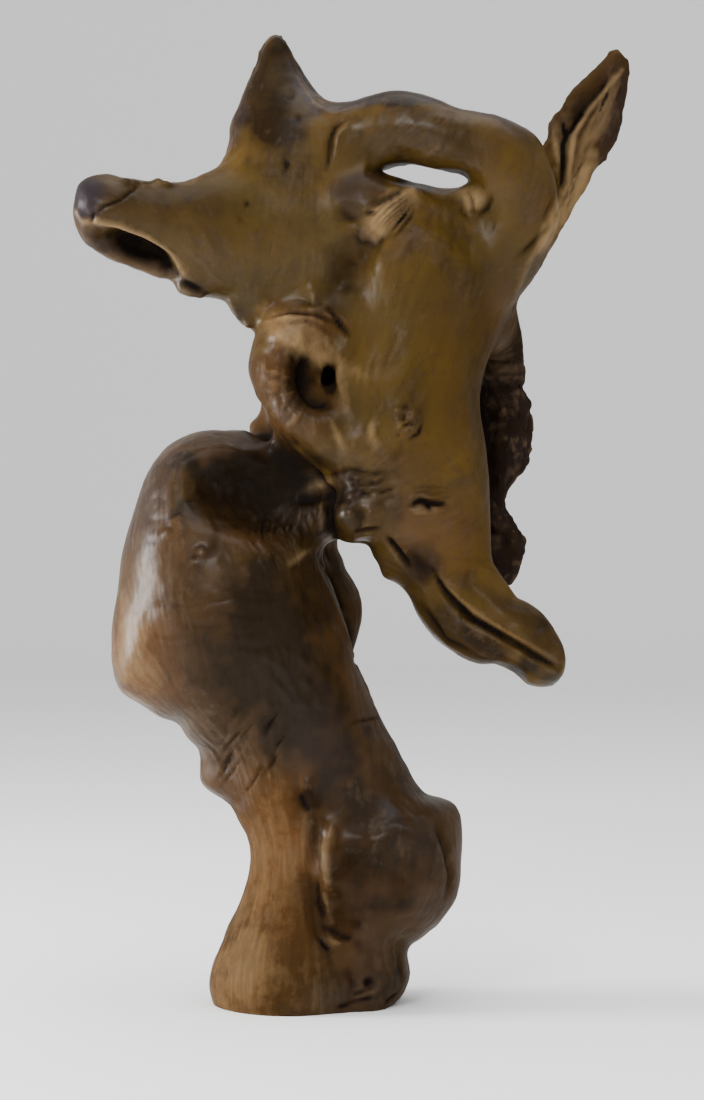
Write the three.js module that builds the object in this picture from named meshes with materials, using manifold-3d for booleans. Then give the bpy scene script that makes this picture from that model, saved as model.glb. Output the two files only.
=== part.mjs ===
// A polished root sculpture: one gnarled root, sawn flat at the foot, that leans out to a heavy
// shoulder and carries a crown with a snout, a horn, an arch, a splinter, a leg and two rear roots.
// The wood is described as limbs and lumps that grow into each other, and hollows that open it.
// It is turned into one closed skin, and then sawn into its branches at the forks.
// Millimetres, +Z up, +Y away from the front, origin near the middle of the foot's flat cut.

import * as THREE from "three";
import { ImprovedNoise } from "three/addons/math/ImprovedNoise.js";
import { mergeVertices } from "three/addons/utils/BufferGeometryUtils.js";
import Module from "manifold-3d";

// Driving dimensions
const HEIGHT = 581; // foot to the tip of the horn
const REACH_LEFT = 143; // from the origin to the end of the snout
const REACH_RIGHT = 190; // from the origin to the edge of the splinter
const FRONT = 80; // most that the wood stands out towards the viewer
const BACK = 100; // most that it stands out behind
const GRID = 11.4; // spacing of the grid that the skin is made on
const MARGIN = 12; // room that the grid keeps round the wood
const KERF = 0.4; // gap that the saw leaves between two branches
const WAVE_LENGTH = 46; // waviness that the surface keeps from growing
const WAVE_HEIGHT = 1.5;
const CHIP = 10; // cubic millimetres, the most that falls off at the saw as a chip
const STUB = 12; // wood below the floor, which the last saw cut takes off
const EYE = { at: [10, -41, 374.5], halfWidth: 6.5, halfHeight: 8.5, depth: 60, tilt: 0 };
const WINDOW = { at: [69, 0, 495], halfWidth: 26, halfHeight: 5.2, depth: 180, tilt: 9 }; // under the arch

const AWAY = new THREE.Vector3(0, 1, 0);
const FAR = 1000;
const NEARBY = 30; // distance within which a limb or a lump shapes what it grows into
const TINY = 1e-6;

// Distance from a point to an oval limb on a smooth line, negative inside the wood.
// A station is [x, y, z, half width, half depth], and the depth is measured along `across`.
function limb(stations, across = AWAY) {
  const STEPS = 5;
  const line = new THREE.CatmullRomCurve3(stations.map(([x, y, z]) => new THREE.Vector3(x, y, z)));
  const girth = new THREE.CatmullRomCurve3(stations.map(([, , , w, d]) => new THREE.Vector3(w, d, 0)));
  const count = (stations.length - 1) * STEPS;
  const points = [];
  for (let i = 0; i <= count; i++)
    points.push({ at: line.getPoint(i / count), size: girth.getPoint(i / count) });
  const reach = Math.max(...stations.map(([, , , w, d]) => Math.max(w, d)));
  const bounds = new THREE.Box3().setFromPoints(points.map((p) => p.at)).expandByScalar(reach + NEARBY);
  const pieces = points.slice(1).map((end, i) => {
    const start = points[i];
    const along = end.at.clone().sub(start.at);
    const length = along.length();
    along.divideScalar(length);
    const deep = across.clone().addScaledVector(along, -across.dot(along)).normalize();
    const wide = new THREE.Vector3().crossVectors(along, deep);
    return { start, end, along, length, deep, wide };
  });
  const off = new THREE.Vector3();
  return (p) => {
    if (!bounds.containsPoint(p)) return FAR;
    let best = FAR;
    for (const { start, end, along, length, deep, wide } of pieces) {
      off.subVectors(p, start.at);
      const run = off.dot(along);
      const share = THREE.MathUtils.clamp(run / length, 0, 1);
      off.addScaledVector(along, -share * length);
      const halfWidth = start.size.x + (end.size.x - start.size.x) * share;
      const halfDepth = start.size.y + (end.size.y - start.size.y) * share;
      const past = run - share * length;
      const cap = Math.min(halfWidth, halfDepth);
      best = Math.min(best, ovalDistance(off.dot(wide), off.dot(deep), past, halfWidth, halfDepth, cap));
    }
    return best;
  };
}

// Distance from the centre of an oval with three half axes to its skin, along the way to the point.
function ovalDistance(a, b, c, ra, rb, rc) {
  const away = Math.hypot(a, b, c);
  const scaled = Math.hypot(a / ra, b / rb, c / rc);
  return scaled < TINY ? -Math.min(ra, rb, rc) : away - away / scaled;
}

// Distance to an oval lump. `turn` holds its rotations about X, Y and Z in degrees.
function lump([x, y, z], [rx, ry, rz], turn = [0, 0, 0]) {
  const centre = new THREE.Vector3(x, y, z);
  const euler = new THREE.Euler(...turn.map(THREE.MathUtils.degToRad));
  const inverse = new THREE.Quaternion().setFromEuler(euler).invert();
  const reach = Math.max(rx, ry, rz) + NEARBY;
  const q = new THREE.Vector3();
  return (p) => {
    q.subVectors(p, centre);
    if (q.length() > reach) return FAR;
    q.applyQuaternion(inverse);
    return ovalDistance(q.x, q.y, q.z, rx, ry, rz);
  };
}

// Wood that grows into what is there already, and a hollow in it. `blend` is the size of the fillet.
const grow = (blend, shape) => ({ shape, blend, open: false });
const hollow = (blend, shape) => ({ shape, blend, open: true });

// The foot and the two strands that rise from it.
const foot = [
  grow(1, limb([[-12, -4, -18, 32, 40], [-13, -4, 1, 42, 51], [-13, -3, 15, 47, 53],
    [-11, -2, 42, 37, 45], [-8, -3, 76, 28, 39], [-6, 0, 106, 32, 42], [-10, 0, 132, 42, 46]])),
  grow(10, limb([[22, 2, -18, 12, 28], [25, 2, 1, 18, 36], [31, 2, 16, 27, 44],
    [30, 2, 36, 25, 39], [36, 0, 70, 30, 40]])),
];

// The swollen knee above the right of the foot, and its knots.
const knee = [
  grow(10, lump([45, -6, 88], [43, 50, 46], [0, 14, 0])),
  grow(12, lump([65, 0, 70], [22, 28, 27])),
  grow(10, lump([73, 4, 105], [15, 20, 18])),
  grow(12, lump([13, -46, 90], [12, 12, 17])),
];

// The trunk leans left to a heavy shoulder, with a knot at its waist and a hollow under its rim.
const trunk = [
  grow(14, limb([[16, 0, 108, 46, 48], [0, 0, 148, 50, 50], [-22, -2, 184, 52, 55],
    [-46, -4, 220, 64, 62], [-54, -2, 258, 60, 62], [-52, 2, 290, 50, 54]])),
  grow(14, lump([-94, -6, 212], [28, 42, 33])),
  grow(10, lump([-52, -2, 137], [17, 24, 14])),
  grow(14, limb([[-80, 0, 270, 28, 46], [-76, 4, 308, 23, 38], [-56, 12, 322, 20, 26],
    [-28, 14, 318, 16, 20], [6, 12, 308, 14, 20]])),
];

// The neck that joins the shoulder to the crown.
const neck = [
  grow(12, limb([[-50, -6, 270, 30, 46], [-20, -4, 287, 22, 36], [8, -2, 295, 18, 30],
    [34, -6, 303, 22, 30], [60, -10, 325, 26, 30]])),
];

// The crown: a broad upright slab, with a ring of wood round the eye, knots, and ridges at the back.
const crown = [
  grow(14, limb([[85, 0, 462, 34, 32], [75, -4, 432, 44, 38], [60, -8, 400, 48, 44],
    [53, -12, 365, 47, 44], [58, -16, 325, 46, 40], [66, -18, 291, 40, 34], [75, -18, 268, 27, 26]])),
  grow(10, limb([[8, -16, 402, 24, 26], [-13, -22, 390, 22, 26], [-17, -25, 372, 19, 26],
    [-8, -28, 351, 19, 26], [12, -28, 336, 20, 24], [34, -26, 330, 22, 24]])),
  grow(8, lump([29, -42, 291], [15, 14, 16])),
  grow(8, lump([66, 22, 472], [20, 16, 20])),
  grow(10, lump([42, -26, 476], [14, 13, 20], [0, -24, 0])),
  grow(14, lump([66, -42, 432], [32, 16, 26], [0, 30, 0])),
  grow(12, limb([[86, 16, 446, 14, 14], [76, 29, 404, 12, 13], [78, 24, 352, 13, 14],
    [78, 10, 302, 12, 14]])),
  grow(12, limb([[24, 18, 452, 18, 14], [30, 30, 410, 14, 13], [22, 26, 372, 12, 14],
    [26, 20, 330, 14, 14]])),
  grow(10, lump([60, 26, 318], [18, 15, 14], [0, 20, 0])),
];

// The head, and the snout that runs out of it to the left and forward.
const snout = [
  grow(14, limb([[58, -6, 448, 42, 34], [20, -6, 466, 50, 36], [-14, -10, 464, 50, 33],
    [-40, -16, 458, 42, 29], [-61, -22, 460, 36, 27], [-84, -29, 460, 28, 24],
    [-103, -34, 463, 25.5, 22], [-121, -39, 468.5, 22, 20.5]])),
  grow(10, lump([-39, -13, 417], [12, 15, 14])),
  grow(6, lump([-72, -26, 431], [16, 14, 11], [0, 12, 0])),
];

// The horn that stands on the head.
const horn = [
  grow(12, limb([[-13, -6, 500, 42, 30], [-17, -3, 525, 29.5, 24], [-19, 1, 546, 21, 17],
    [-21.5, 4, 561, 14, 12], [-23.5, 6, 582.5, 7.5, 7]])),
];

// The arch that springs from the head and comes down again on the right of the crown.
const arch = [
  grow(9, limb([[2, -8, 508, 32, 26], [30, -16, 519, 21, 21], [58, -24, 521.5, 19.5, 20],
    [86, -27, 513.5, 20, 21], [114, -26, 498, 25, 23], [120, -20, 470, 25, 23],
    [102, -10, 436, 28, 28]])),
];

// The splinter: a thin leaf of wood that stands up behind the end of the arch.
const SPLINTER_FACING = new THREE.Vector3(-0.25, 0.97, 0).normalize();
const splinter = [
  grow(8, limb([[97, 8, 412, 16, 20], [116, 20, 438, 16, 14], [135, 30, 470, 16, 12],
    [151, 33, 500, 20, 11], [167, 33, 527, 22, 10.5], [178, 31, 551, 15.5, 9.5],
    [185.5, 29, 569, 8.5, 8]], SPLINTER_FACING)),
];

// The leg: two strands side by side that run down to the right and forward, and a thin one behind.
const leg = [
  grow(10, limb([[76, -18, 276, 28, 28], [90, -24, 255, 19, 24], [108, -34, 237, 16, 18],
    [127, -42, 219, 15.5, 17], [137, -44, 207, 14.5, 16]])),
  grow(8, limb([[61, -12, 266, 14, 20], [74, -20, 242, 15, 20], [88, -28, 224, 13, 18],
    [108, -36, 214, 11.5, 17], [131, -40, 202, 12, 15]])),
  grow(8, limb([[68, 0, 248, 10, 13], [81, -4, 223, 9, 12], [99, -12, 213, 8, 12],
    [119, -24, 208, 8, 12]])),
];

// The rear root: a knobby dark strand that hangs behind the right edge of the crown.
const rearRoot = [
  grow(10, limb([[94, 10, 426, 22, 24], [112, 32, 406, 16, 19], [117, 44, 380, 14, 18],
    [120, 48, 354, 16, 20], [117, 46, 328, 14, 18], [108, 42, 302, 10, 14], [116, 41, 279, 15, 17],
    [112, 40, 261, 14, 15]])),
  grow(7, lump([123, 50, 344], [13, 15, 18])),
  grow(7, lump([104, 56, 356], [12, 13, 16])),
  grow(6, lump([114, 52, 288], [10, 10, 12])),
];

// The strut: a stout root that comes off the back of the crown, lies against the back of the neck,
// swells to a round knuckle and grows into the back of the trunk.
const strut = [
  grow(14, limb([[44, 16, 412, 28, 26], [12, 36, 384, 25, 23], [-13, 46, 346, 25, 24],
    [-13, 48, 306, 22, 26], [-4, 54, 268, 21, 24], [2, 56, 236, 27, 29], [-6, 40, 205, 28, 29],
    [-16, 14, 176, 28, 28]])),
  grow(8, lump([-2, 74, 292], [12, 10, 20], [0, -15, 0])),
  grow(8, lump([-22, 66, 334], [12, 11, 17], [0, 20, 0])),
];

// Hollows: under the shoulder's rim, round the eye, in the snout, down the foot, under the arch and
// at the back.
const WINDOW_TILT = new THREE.Vector3(0.13, 0, 0.99).normalize();
const hollows = [
  hollow(16, lump([-30, -58, 304], [44, 36, 23], [0, 12, 0])),
  hollow(10, lump([3, -64, 375], [14, 32, 19], [0, 14, 0])),
  hollow(7, limb([[-120, -62, 455, 7, 16], [-104, -59, 449, 9, 18], [-84, -54, 440, 8, 15],
    [-72, -48, 434, 5, 10]])),
  hollow(8, limb([[3, -66, 72, 4, 8], [5, -64, 46, 6, 12], [7, -64, 18, 7, 13], [8, -64, -14, 8, 13]])),
  hollow(6, limb([[66, -80, 490, 27, 8], [68, -30, 491, 27, 8], [69, -4, 494, 23, 5]], WINDOW_TILT)),
  hollow(14, lump([54, 56, 366], [18, 24, 44], [0, 6, 0])),
  hollow(16, lump([-66, 82, 262], [26, 26, 46], [0, -16, 0])),
  hollow(12, lump([30, 62, 150], [15, 24, 44], [0, -20, 0])),
];

const growth = [...foot, ...knee, ...trunk, ...neck, ...crown, ...snout, ...horn, ...arch, ...splinter,
  ...leg, ...rearRoot, ...strut, ...hollows];

// Joins two distances with a fillet, as one limb grows into another.
function fillet(a, b, radius) {
  const overlap = Math.max(radius - Math.abs(a - b), 0) / radius;
  return Math.min(a, b) - (overlap * overlap * radius) / 4;
}

const noise = new ImprovedNoise();
const NOISE_AT = { x: 7.3, y: 1.9, z: 4.1 }; // where in the noise the waves are read

// Distance from a point to the skin of the whole root.
function wood(p) {
  let distance = FAR;
  for (const { shape, blend, open } of growth) {
    if (open) distance = -fillet(-distance, shape(p), blend);
    else distance = fillet(distance, shape(p), blend);
  }
  const [x, y, z] = ["x", "y", "z"].map((axis) => p[axis] / WAVE_LENGTH + NOISE_AT[axis]);
  const wave = noise.noise(x, y, z);
  return Math.max(distance + WAVE_HEIGHT * wave, -STUB - p.z);
}

// Turns a distance function into a closed mesh: one vertex in each grid cell that the skin crosses,
// evened out and pulled onto the skin, and one quad round each grid edge that crosses it.
function skin(distance, low, high, spacing) {
  const counts = high.clone().sub(low).divideScalar(spacing).ceil().addScalar(1);
  const [nx, ny, nz] = counts.toArray();
  const index = (i, j, k) => (i * ny + j) * nz + k;
  const values = new Float32Array(nx * ny * nz);
  const p = new THREE.Vector3();
  for (let i = 0; i < nx; i++)
    for (let j = 0; j < ny; j++)
      for (let k = 0; k < nz; k++)
        values[index(i, j, k)] = distance(p.set(i, j, k).multiplyScalar(spacing).add(low));

  settle(values, nx, ny, nz, index);

  const CORNERS = [0, 1, 2, 3, 4, 5, 6, 7].map((c) => [(c >> 2) & 1, (c >> 1) & 1, c & 1]);
  const vertices = [];
  const vertexOf = new Int32Array(values.length).fill(-1);
  for (let i = 0; i < nx - 1; i++)
    for (let j = 0; j < ny - 1; j++)
      for (let k = 0; k < nz - 1; k++) {
        const crossings = new THREE.Vector3();
        let found = 0;
        for (const [a, corner] of CORNERS.entries())
          for (const bit of [4, 2, 1]) {
            if (a & bit) continue;
            const other = CORNERS[a | bit];
            const va = values[index(i + corner[0], j + corner[1], k + corner[2])];
            const vb = values[index(i + other[0], j + other[1], k + other[2])];
            if (va < 0 === vb < 0) continue;
            const share = va / (va - vb);
            crossings.x += corner[0] + (other[0] - corner[0]) * share;
            crossings.y += corner[1] + (other[1] - corner[1]) * share;
            crossings.z += corner[2] + (other[2] - corner[2]) * share;
            found++;
          }
        if (!found) continue;
        vertexOf[index(i, j, k)] = vertices.length;
        const cell = new THREE.Vector3(i, j, k);
        vertices.push(crossings.divideScalar(found).add(cell).multiplyScalar(spacing).add(low));
      }

  // The four cells round a grid edge, for an edge along X, Y and Z.
  const ROUND = [
    [[0, -1, -1], [0, 0, -1], [0, 0, 0], [0, -1, 0]],
    [[-1, 0, -1], [-1, 0, 0], [0, 0, 0], [0, 0, -1]],
    [[-1, -1, 0], [0, -1, 0], [0, 0, 0], [-1, 0, 0]],
  ];
  const quads = [];
  for (let i = 1; i < nx - 1; i++)
    for (let j = 1; j < ny - 1; j++)
      for (let k = 1; k < nz - 1; k++) {
        const here = values[index(i, j, k)] < 0;
        const ahead = [index(i + 1, j, k), index(i, j + 1, k), index(i, j, k + 1)];
        ahead.forEach((next, axis) => {
          const there = values[next] < 0;
          if (here === there) return;
          const quad = ROUND[axis].map(([x, y, z]) => vertexOf[index(i + x, j + y, k + z)]);
          quads.push(here ? quad : quad.reverse());
        });
      }

  evenOut(distance, vertices, quads, spacing);

  // Each quad is split along its shorter diagonal, unless another quad already uses those two ends.
  const triangles = [];
  const edge = (a, b) => Math.min(a, b) * vertices.length + Math.max(a, b);
  const taken = new Set();
  for (const [a, b, c, d] of quads) {
    const firstIsShorter = vertices[a].distanceTo(vertices[c]) < vertices[b].distanceTo(vertices[d]);
    const first = taken.has(edge(b, d)) || (firstIsShorter && !taken.has(edge(a, c)));
    taken.add(first ? edge(a, c) : edge(b, d));
    if (first) triangles.push(a, b, c, a, c, d);
    else triangles.push(a, b, d, b, c, d);
  }
  const positions = new Float32Array(vertices.flatMap((v) => v.toArray()));
  return new THREE.BufferGeometry()
    .setAttribute("position", new THREE.BufferAttribute(positions, 3))
    .setIndex(triangles);
}

// Where the wood touches itself only across a corner of the grid, fills the open corner that lies
// nearest to it, so that the mesh stays one clean skin.
function settle(values, nx, ny, nz, index) {
  const PASSES = 6;
  const JUST_INSIDE = -0.01;
  const SIDES = [
    [[0, 0, 0], [1, 0, 0], [1, 1, 0], [0, 1, 0]],
    [[0, 0, 0], [1, 0, 0], [1, 0, 1], [0, 0, 1]],
    [[0, 0, 0], [0, 1, 0], [0, 1, 1], [0, 0, 1]],
  ];
  for (let pass = 0; pass < PASSES; pass++)
    for (let i = 0; i < nx - 1; i++)
      for (let j = 0; j < ny - 1; j++)
        for (let k = 0; k < nz - 1; k++)
          for (const side of SIDES) {
            const corners = side.map(([x, y, z]) => index(i + x, j + y, k + z));
            const [inA, inB, inC, inD] = corners.map((n) => values[n] < 0);
            if (inA !== inC || inB !== inD || inA === inB) continue;
            const [first, second] = corners.filter((n) => values[n] >= 0);
            values[values[first] < values[second] ? first : second] = JUST_INSIDE;
          }
}

// Moves each vertex towards the middle of its neighbours, then back onto the skin.
function evenOut(distance, vertices, quads, spacing) {
  const ROUNDS = 4;
  const TOUCH = 2; // step for measuring the slope, which also rounds the tightest creases
  const STAY = 0.5; // share of its old place that a vertex keeps
  const LEAST_SLOPE = 0.5; // keeps a step short where the distance hardly changes
  const neighbours = vertices.map(() => new Set());
  for (const quad of quads)
    quad.forEach((v, i) => neighbours[v].add(quad[(i + 1) % 4]).add(quad[(i + 3) % 4]));
  const slope = new THREE.Vector3();
  const probe = new THREE.Vector3();
  for (let round = 0; round < ROUNDS; round++) {
    const middles = vertices.map((v, i) => {
      const middle = new THREE.Vector3();
      for (const n of neighbours[i]) middle.add(vertices[n]);
      return middle.divideScalar(neighbours[i].size).lerp(v, STAY);
    });
    vertices.forEach((v, i) => {
      v.copy(middles[i]);
      for (const axis of ["x", "y", "z"]) {
        probe.copy(v)[axis] += TOUCH;
        const ahead = distance(probe);
        probe[axis] -= 2 * TOUCH;
        slope[axis] = (ahead - distance(probe)) / (2 * TOUCH);
      }
      const steep = Math.max(slope.lengthSq(), LEAST_SLOPE);
      const step = THREE.MathUtils.clamp(-distance(v) / steep, -spacing / 4, spacing / 4);
      v.addScaledVector(slope, step);
    });
  }
}

const wasm = await Module();
wasm.setup();

// A closed geometry, placed in the world, as a solid that can be joined and cut.
function solidOf(geometry, matrix = new THREE.Matrix4()) {
  const WELD = 1e-4; // vertices closer than this are one
  const plain = new THREE.BufferGeometry();
  plain.setAttribute("position", geometry.getAttribute("position").clone());
  if (geometry.index) plain.setIndex(geometry.index);
  const merged = mergeVertices(plain.applyMatrix4(matrix), WELD);
  return new wasm.Manifold(new wasm.Mesh({
    numProp: 3,
    vertProperties: merged.getAttribute("position").array,
    triVerts: new Uint32Array(merged.index.array),
  }));
}

// A solid as the geometry of a mesh.
function geometryOf(solid) {
  const { numProp, vertProperties, triVerts } = solid.getMesh();
  const count = vertProperties.length / numProp;
  const positions = new Float32Array(count * 3);
  for (let i = 0; i < count; i++)
    positions.set(vertProperties.subarray(i * numProp, i * numProp + 3), i * 3);
  const geometry = new THREE.BufferGeometry();
  geometry.setAttribute("position", new THREE.BufferAttribute(positions, 3)).setIndex([...triVerts]);
  geometry.computeVertexNormals();
  return geometry;
}

// The whole root, sawn flat at the floor, with the eye and the window under the arch bored into it.
function wholeRoot() {
  const low = new THREE.Vector3(-REACH_LEFT - MARGIN, -FRONT, -3 * GRID);
  const high = new THREE.Vector3(REACH_RIGHT + MARGIN, BACK, HEIGHT + MARGIN);
  const SIDE = 400;
  const below = new THREE.BoxGeometry(SIDE, SIDE, SIDE);
  const down = new THREE.Matrix4().makeTranslation(0, 0, -SIDE / 2);
  return solidOf(skin(wood, low, high, GRID))
    .subtract(solidOf(below, down))
    .subtract(bore(EYE))
    .subtract(bore(WINDOW));
}

// An oval hole that runs from front to back, a little narrower at the back. `tilt` is in degrees.
function bore({ at, halfWidth, halfHeight, depth, tilt }) {
  const SIDES = 20;
  const TAPER = 0.9;
  const turn = new THREE.Quaternion().setFromAxisAngle(AWAY, THREE.MathUtils.degToRad(tilt));
  const size = new THREE.Vector3(halfWidth, 1, halfHeight);
  const hole = new THREE.CylinderGeometry(TAPER, 1, depth, SIDES);
  return solidOf(hole, new THREE.Matrix4().compose(new THREE.Vector3(...at), turn, size));
}

// The saw cuts at the forks: a round blade, with its centre, the way it faces, and its radius.
const cuts = [
  { at: [-6, 14, 306], facing: [0.824, 0, 0.566], radius: 78 }, // the neck and the strut behind it
  { at: [-62, -22, 459], facing: [-0.98, -0.2, 0], radius: 46 }, // the snout
  { at: [-23, -3, 520], facing: [-0.486, 0, 0.874], radius: 45 }, // the horn
  { at: [36.5, -14, 518], facing: [0.874, 0, 0.486], radius: 38 }, // the start of the arch
  { at: [134, -6, 474.2], facing: [0.38, 0, 0.925], radius: 57 }, // the end of the arch, and the splinter
  { at: [76, -18, 258], facing: [0.35, -0.1, -0.93], radius: 48 }, // the leg
  { at: [115, 39, 391], facing: [0.17, 0.41, -0.9], radius: 27 }, // the rear root
];

function blade({ at, facing, radius }) {
  const SIDES = 32;
  const disc = new THREE.CylinderGeometry(radius, radius, KERF, SIDES);
  const towards = new THREE.Vector3(...facing).normalize();
  const turn = new THREE.Quaternion().setFromUnitVectors(AWAY, towards);
  const place = new THREE.Matrix4().makeRotationFromQuaternion(turn).setPosition(...at);
  return solidOf(disc, place);
}

// The branches: a point inside each, and its colour and polish.
const branches = {
  trunk: { inside: [-40, 0, 220], color: "#4b3828", roughness: 0.34 },
  crown: { inside: [55, -12, 365], color: "#6e5329", roughness: 0.36 },
  snout: { inside: [-90, -30, 470], color: "#66502f", roughness: 0.38 },
  horn: { inside: [-19, 0, 540], color: "#73582e", roughness: 0.36 },
  arch: { inside: [70, -26, 519], color: "#7a5d32", roughness: 0.32 },
  splinter: { inside: [160, 28, 520], color: "#5b4528", roughness: 0.48 },
  leg: { inside: [108, -35, 230], color: "#6c5234", roughness: 0.36 },
  rear_root: { inside: [119, 48, 350], color: "#2f241c", roughness: 0.5 },
};

let sawn = wholeRoot();
for (const cut of cuts) sawn = sawn.subtract(blade(cut));
const pieces = sawn.decompose().filter((solid) => solid.volume() > CHIP);

const group = new THREE.Group();
for (const [name, { inside, color, roughness }] of Object.entries(branches)) {
  const mark = solidOf(new THREE.BoxGeometry(1, 1, 1), new THREE.Matrix4().makeTranslation(...inside));
  const piece = pieces.find((solid) => !solid.intersect(mark).isEmpty());
  const finish = new THREE.MeshStandardMaterial({ color, roughness, metalness: 0 });
  const mesh = new THREE.Mesh(geometryOf(piece), finish);
  mesh.name = name;
  group.add(mesh);
}
if (pieces.length !== group.children.length)
  throw new Error(`${pieces.length} pieces of wood after sawing`);

export default group;
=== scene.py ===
"""The looks of a polished root sculpture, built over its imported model.

The saw cuts of the model are closed, the facets are worn away, and the wood is carved, fibred and
coloured as one skin. The skin is then parted again into the branches that the model names.
"""

import math

import bmesh
import bpy
import numpy as np
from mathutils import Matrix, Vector
from mathutils.bvhtree import BVHTree


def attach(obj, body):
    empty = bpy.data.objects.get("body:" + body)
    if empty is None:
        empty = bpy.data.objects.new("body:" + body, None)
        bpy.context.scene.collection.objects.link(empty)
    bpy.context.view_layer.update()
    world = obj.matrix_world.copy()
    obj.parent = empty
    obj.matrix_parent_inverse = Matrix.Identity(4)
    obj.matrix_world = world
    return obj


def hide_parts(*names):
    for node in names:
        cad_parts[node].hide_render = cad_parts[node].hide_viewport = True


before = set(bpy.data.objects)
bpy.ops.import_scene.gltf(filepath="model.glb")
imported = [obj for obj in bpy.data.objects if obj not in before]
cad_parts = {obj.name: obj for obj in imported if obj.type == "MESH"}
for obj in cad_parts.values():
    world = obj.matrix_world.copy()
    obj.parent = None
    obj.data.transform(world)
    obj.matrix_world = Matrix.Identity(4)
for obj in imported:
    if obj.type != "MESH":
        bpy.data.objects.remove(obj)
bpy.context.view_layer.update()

bl_info = {
    "name": "Root sculpture",
    "version": (1, 0, 0),
    "blender": (4, 5, 0),
    "location": "View3D > Sidebar > Root sculpture",
    "description": "Carves and finishes a polished root over its model",
    "category": "Object",
}

MM = 0.001
BRANCHES = ("trunk", "crown", "snout", "horn", "arch", "splinter", "leg", "rear_root")
SKIN = "whole_skin"
MARKS = ("streak", "band", "hollow", "golden", "ruddy", "umber", "pale", "violet", "dry", "fibrous")

# The photograph's camera: a level one in front of the root, in millimetres
EYE = np.array([24.0, -1700.0, 271.0])
PIXEL = 0.6
FRAME_WIDTH, FRAME_HEIGHT = 704, 1100
SENSOR = 36.0

# Millimetres that each branch swells to close the saw cuts, and that a cut edge turns in
SWELL = 0.35
TURN_IN = 2.5
# What a point keeps of its own value in each round of evening out
KEEP = 0.35
MOST_NEIGHBOURS = 12
# Pixels from one spot of a stroke to the next, and millimetres that a stroke reaches at most
STROKE_STEP = 8
STROKE_REACH = 25


# Sizes and colours


def slider(label, text, value, low, high, **kind):
    return bpy.props.FloatProperty(
        name=label, description=text, default=value, min=low, max=high, **kind
    )


def factor(label, text, value, low, high):
    return slider(label, text, value, low, high, subtype="FACTOR")


def colour(label, text, value):
    return bpy.props.FloatVectorProperty(
        name=label, description=text, default=value, size=3, min=0, max=1, subtype="COLOR"
    )


class RootShape(bpy.types.PropertyGroup):
    """How fine the skin is, and how deeply it is worn and carved"""

    spacing: slider(
        "Skin spacing", "Size of the cells that the skin is laid in before it is refined once",
        0.003, 0.0015, 0.01, unit="LENGTH",
    )
    wear: slider(
        "Wear", "How far the facets of the model are worn into each other",
        0.0042, 0.0, 0.02, unit="LENGTH",
    )
    relief: factor("Relief", "Strength of the carved folds, knots and cracks", 1.0, 0.0, 2.0)
    fibre: factor("Fibre", "Strength of the ridges that the grain leaves", 1.0, 0.0, 3.0)


class RootFinish(bpy.types.PropertyGroup):
    """The colours of the wood and its gloss"""

    golden: colour("Golden wood", "Varnished wood of the crown", (0.067, 0.0365, 0.0058))
    olive: colour("Olive wood", "The greener clouds in the golden wood", (0.038, 0.0255, 0.0048))
    brown: colour("Brown wood", "Plain varnished wood", (0.035, 0.0176, 0.0054))
    ruddy: colour("Ruddy wood", "Warm red wood of the trunk and the foot", (0.062, 0.0265, 0.0075))
    # Umber is also painted shade in hollows, and a painted dark reflection on the top of the arch
    umber: colour("Umber wood", "Dark stained wood", (0.0120, 0.0062, 0.0016))
    # Pale is also painted light: highlights on the lip and the snout, and light on folds, lumps and left
    # sides
    pale: colour("Pale wood", "Worn edges and raised fibres", (0.245, 0.156, 0.072))
    # Violet is also a painted dark reflection on the tops of the arch and the saddle, and painted shadow
    # on the leg
    violet: colour("Violet wood", "The cool dark patches", (0.018, 0.0125, 0.0140))
    # Pitch also stands for painted shade in the hollows, cracks and dips where shade falls
    pitch: colour("Pitch", "Old varnish and dust in cracks and hollows", (0.005, 0.0035, 0.003))
    roughness: factor("Roughness", "Roughness of the wood under the varnish", 0.42, 0.05, 1.0)
    varnish: factor("Varnish", "How much of the gloss the varnish gives", 0.26, 0.0, 1.0)


class RootStage(bpy.types.PropertyGroup):
    """The floor and the light"""

    floor: colour("Floor", "The pale floor and wall", (0.92, 0.92, 0.91))
    window: slider(
        "Window light", "Power of the lamp on the left, which the others follow",
        66.0, 0.0, 1000.0, unit="POWER",
    )
    fill: slider("Fill light", "Strength of the light from all round", 0.9, 0.0, 5.0)


# Reading and writing meshes


def column(items, name, width, kind=np.float32):
    """One value, or a row of them, from each of a mesh's items."""
    values = np.empty(len(items) * width, kind)
    items.foreach_get(name, values)
    return values.reshape(-1, width) if width > 1 else values


def mark(mesh, name):
    """The values that a mesh carries under a name."""
    return column(mesh.attributes[name].data, "value", 1).astype(float)


def set_mark(mesh, name, values):
    """Gives a mesh the values of a mark, one for each point."""
    layer = mesh.attributes.get(name) or mesh.attributes.new(name, "FLOAT", "POINT")
    layer.data.foreach_set("value", np.ascontiguousarray(values, np.float32).ravel())


def corners(mesh):
    """The four corners of each face of a mesh of quads."""
    return column(mesh.loops, "vertex_index", 1, np.int32).reshape(-1, 4)


def unit(vectors):
    return vectors / np.maximum(np.linalg.norm(vectors, axis=-1, keepdims=True), 1e-9)


def soft(value, low, high):
    """0 below low, 1 above high, and smooth between them."""
    share = np.clip((value - low) / (high - low), 0, 1)
    return share * share * (3 - 2 * share)


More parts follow.
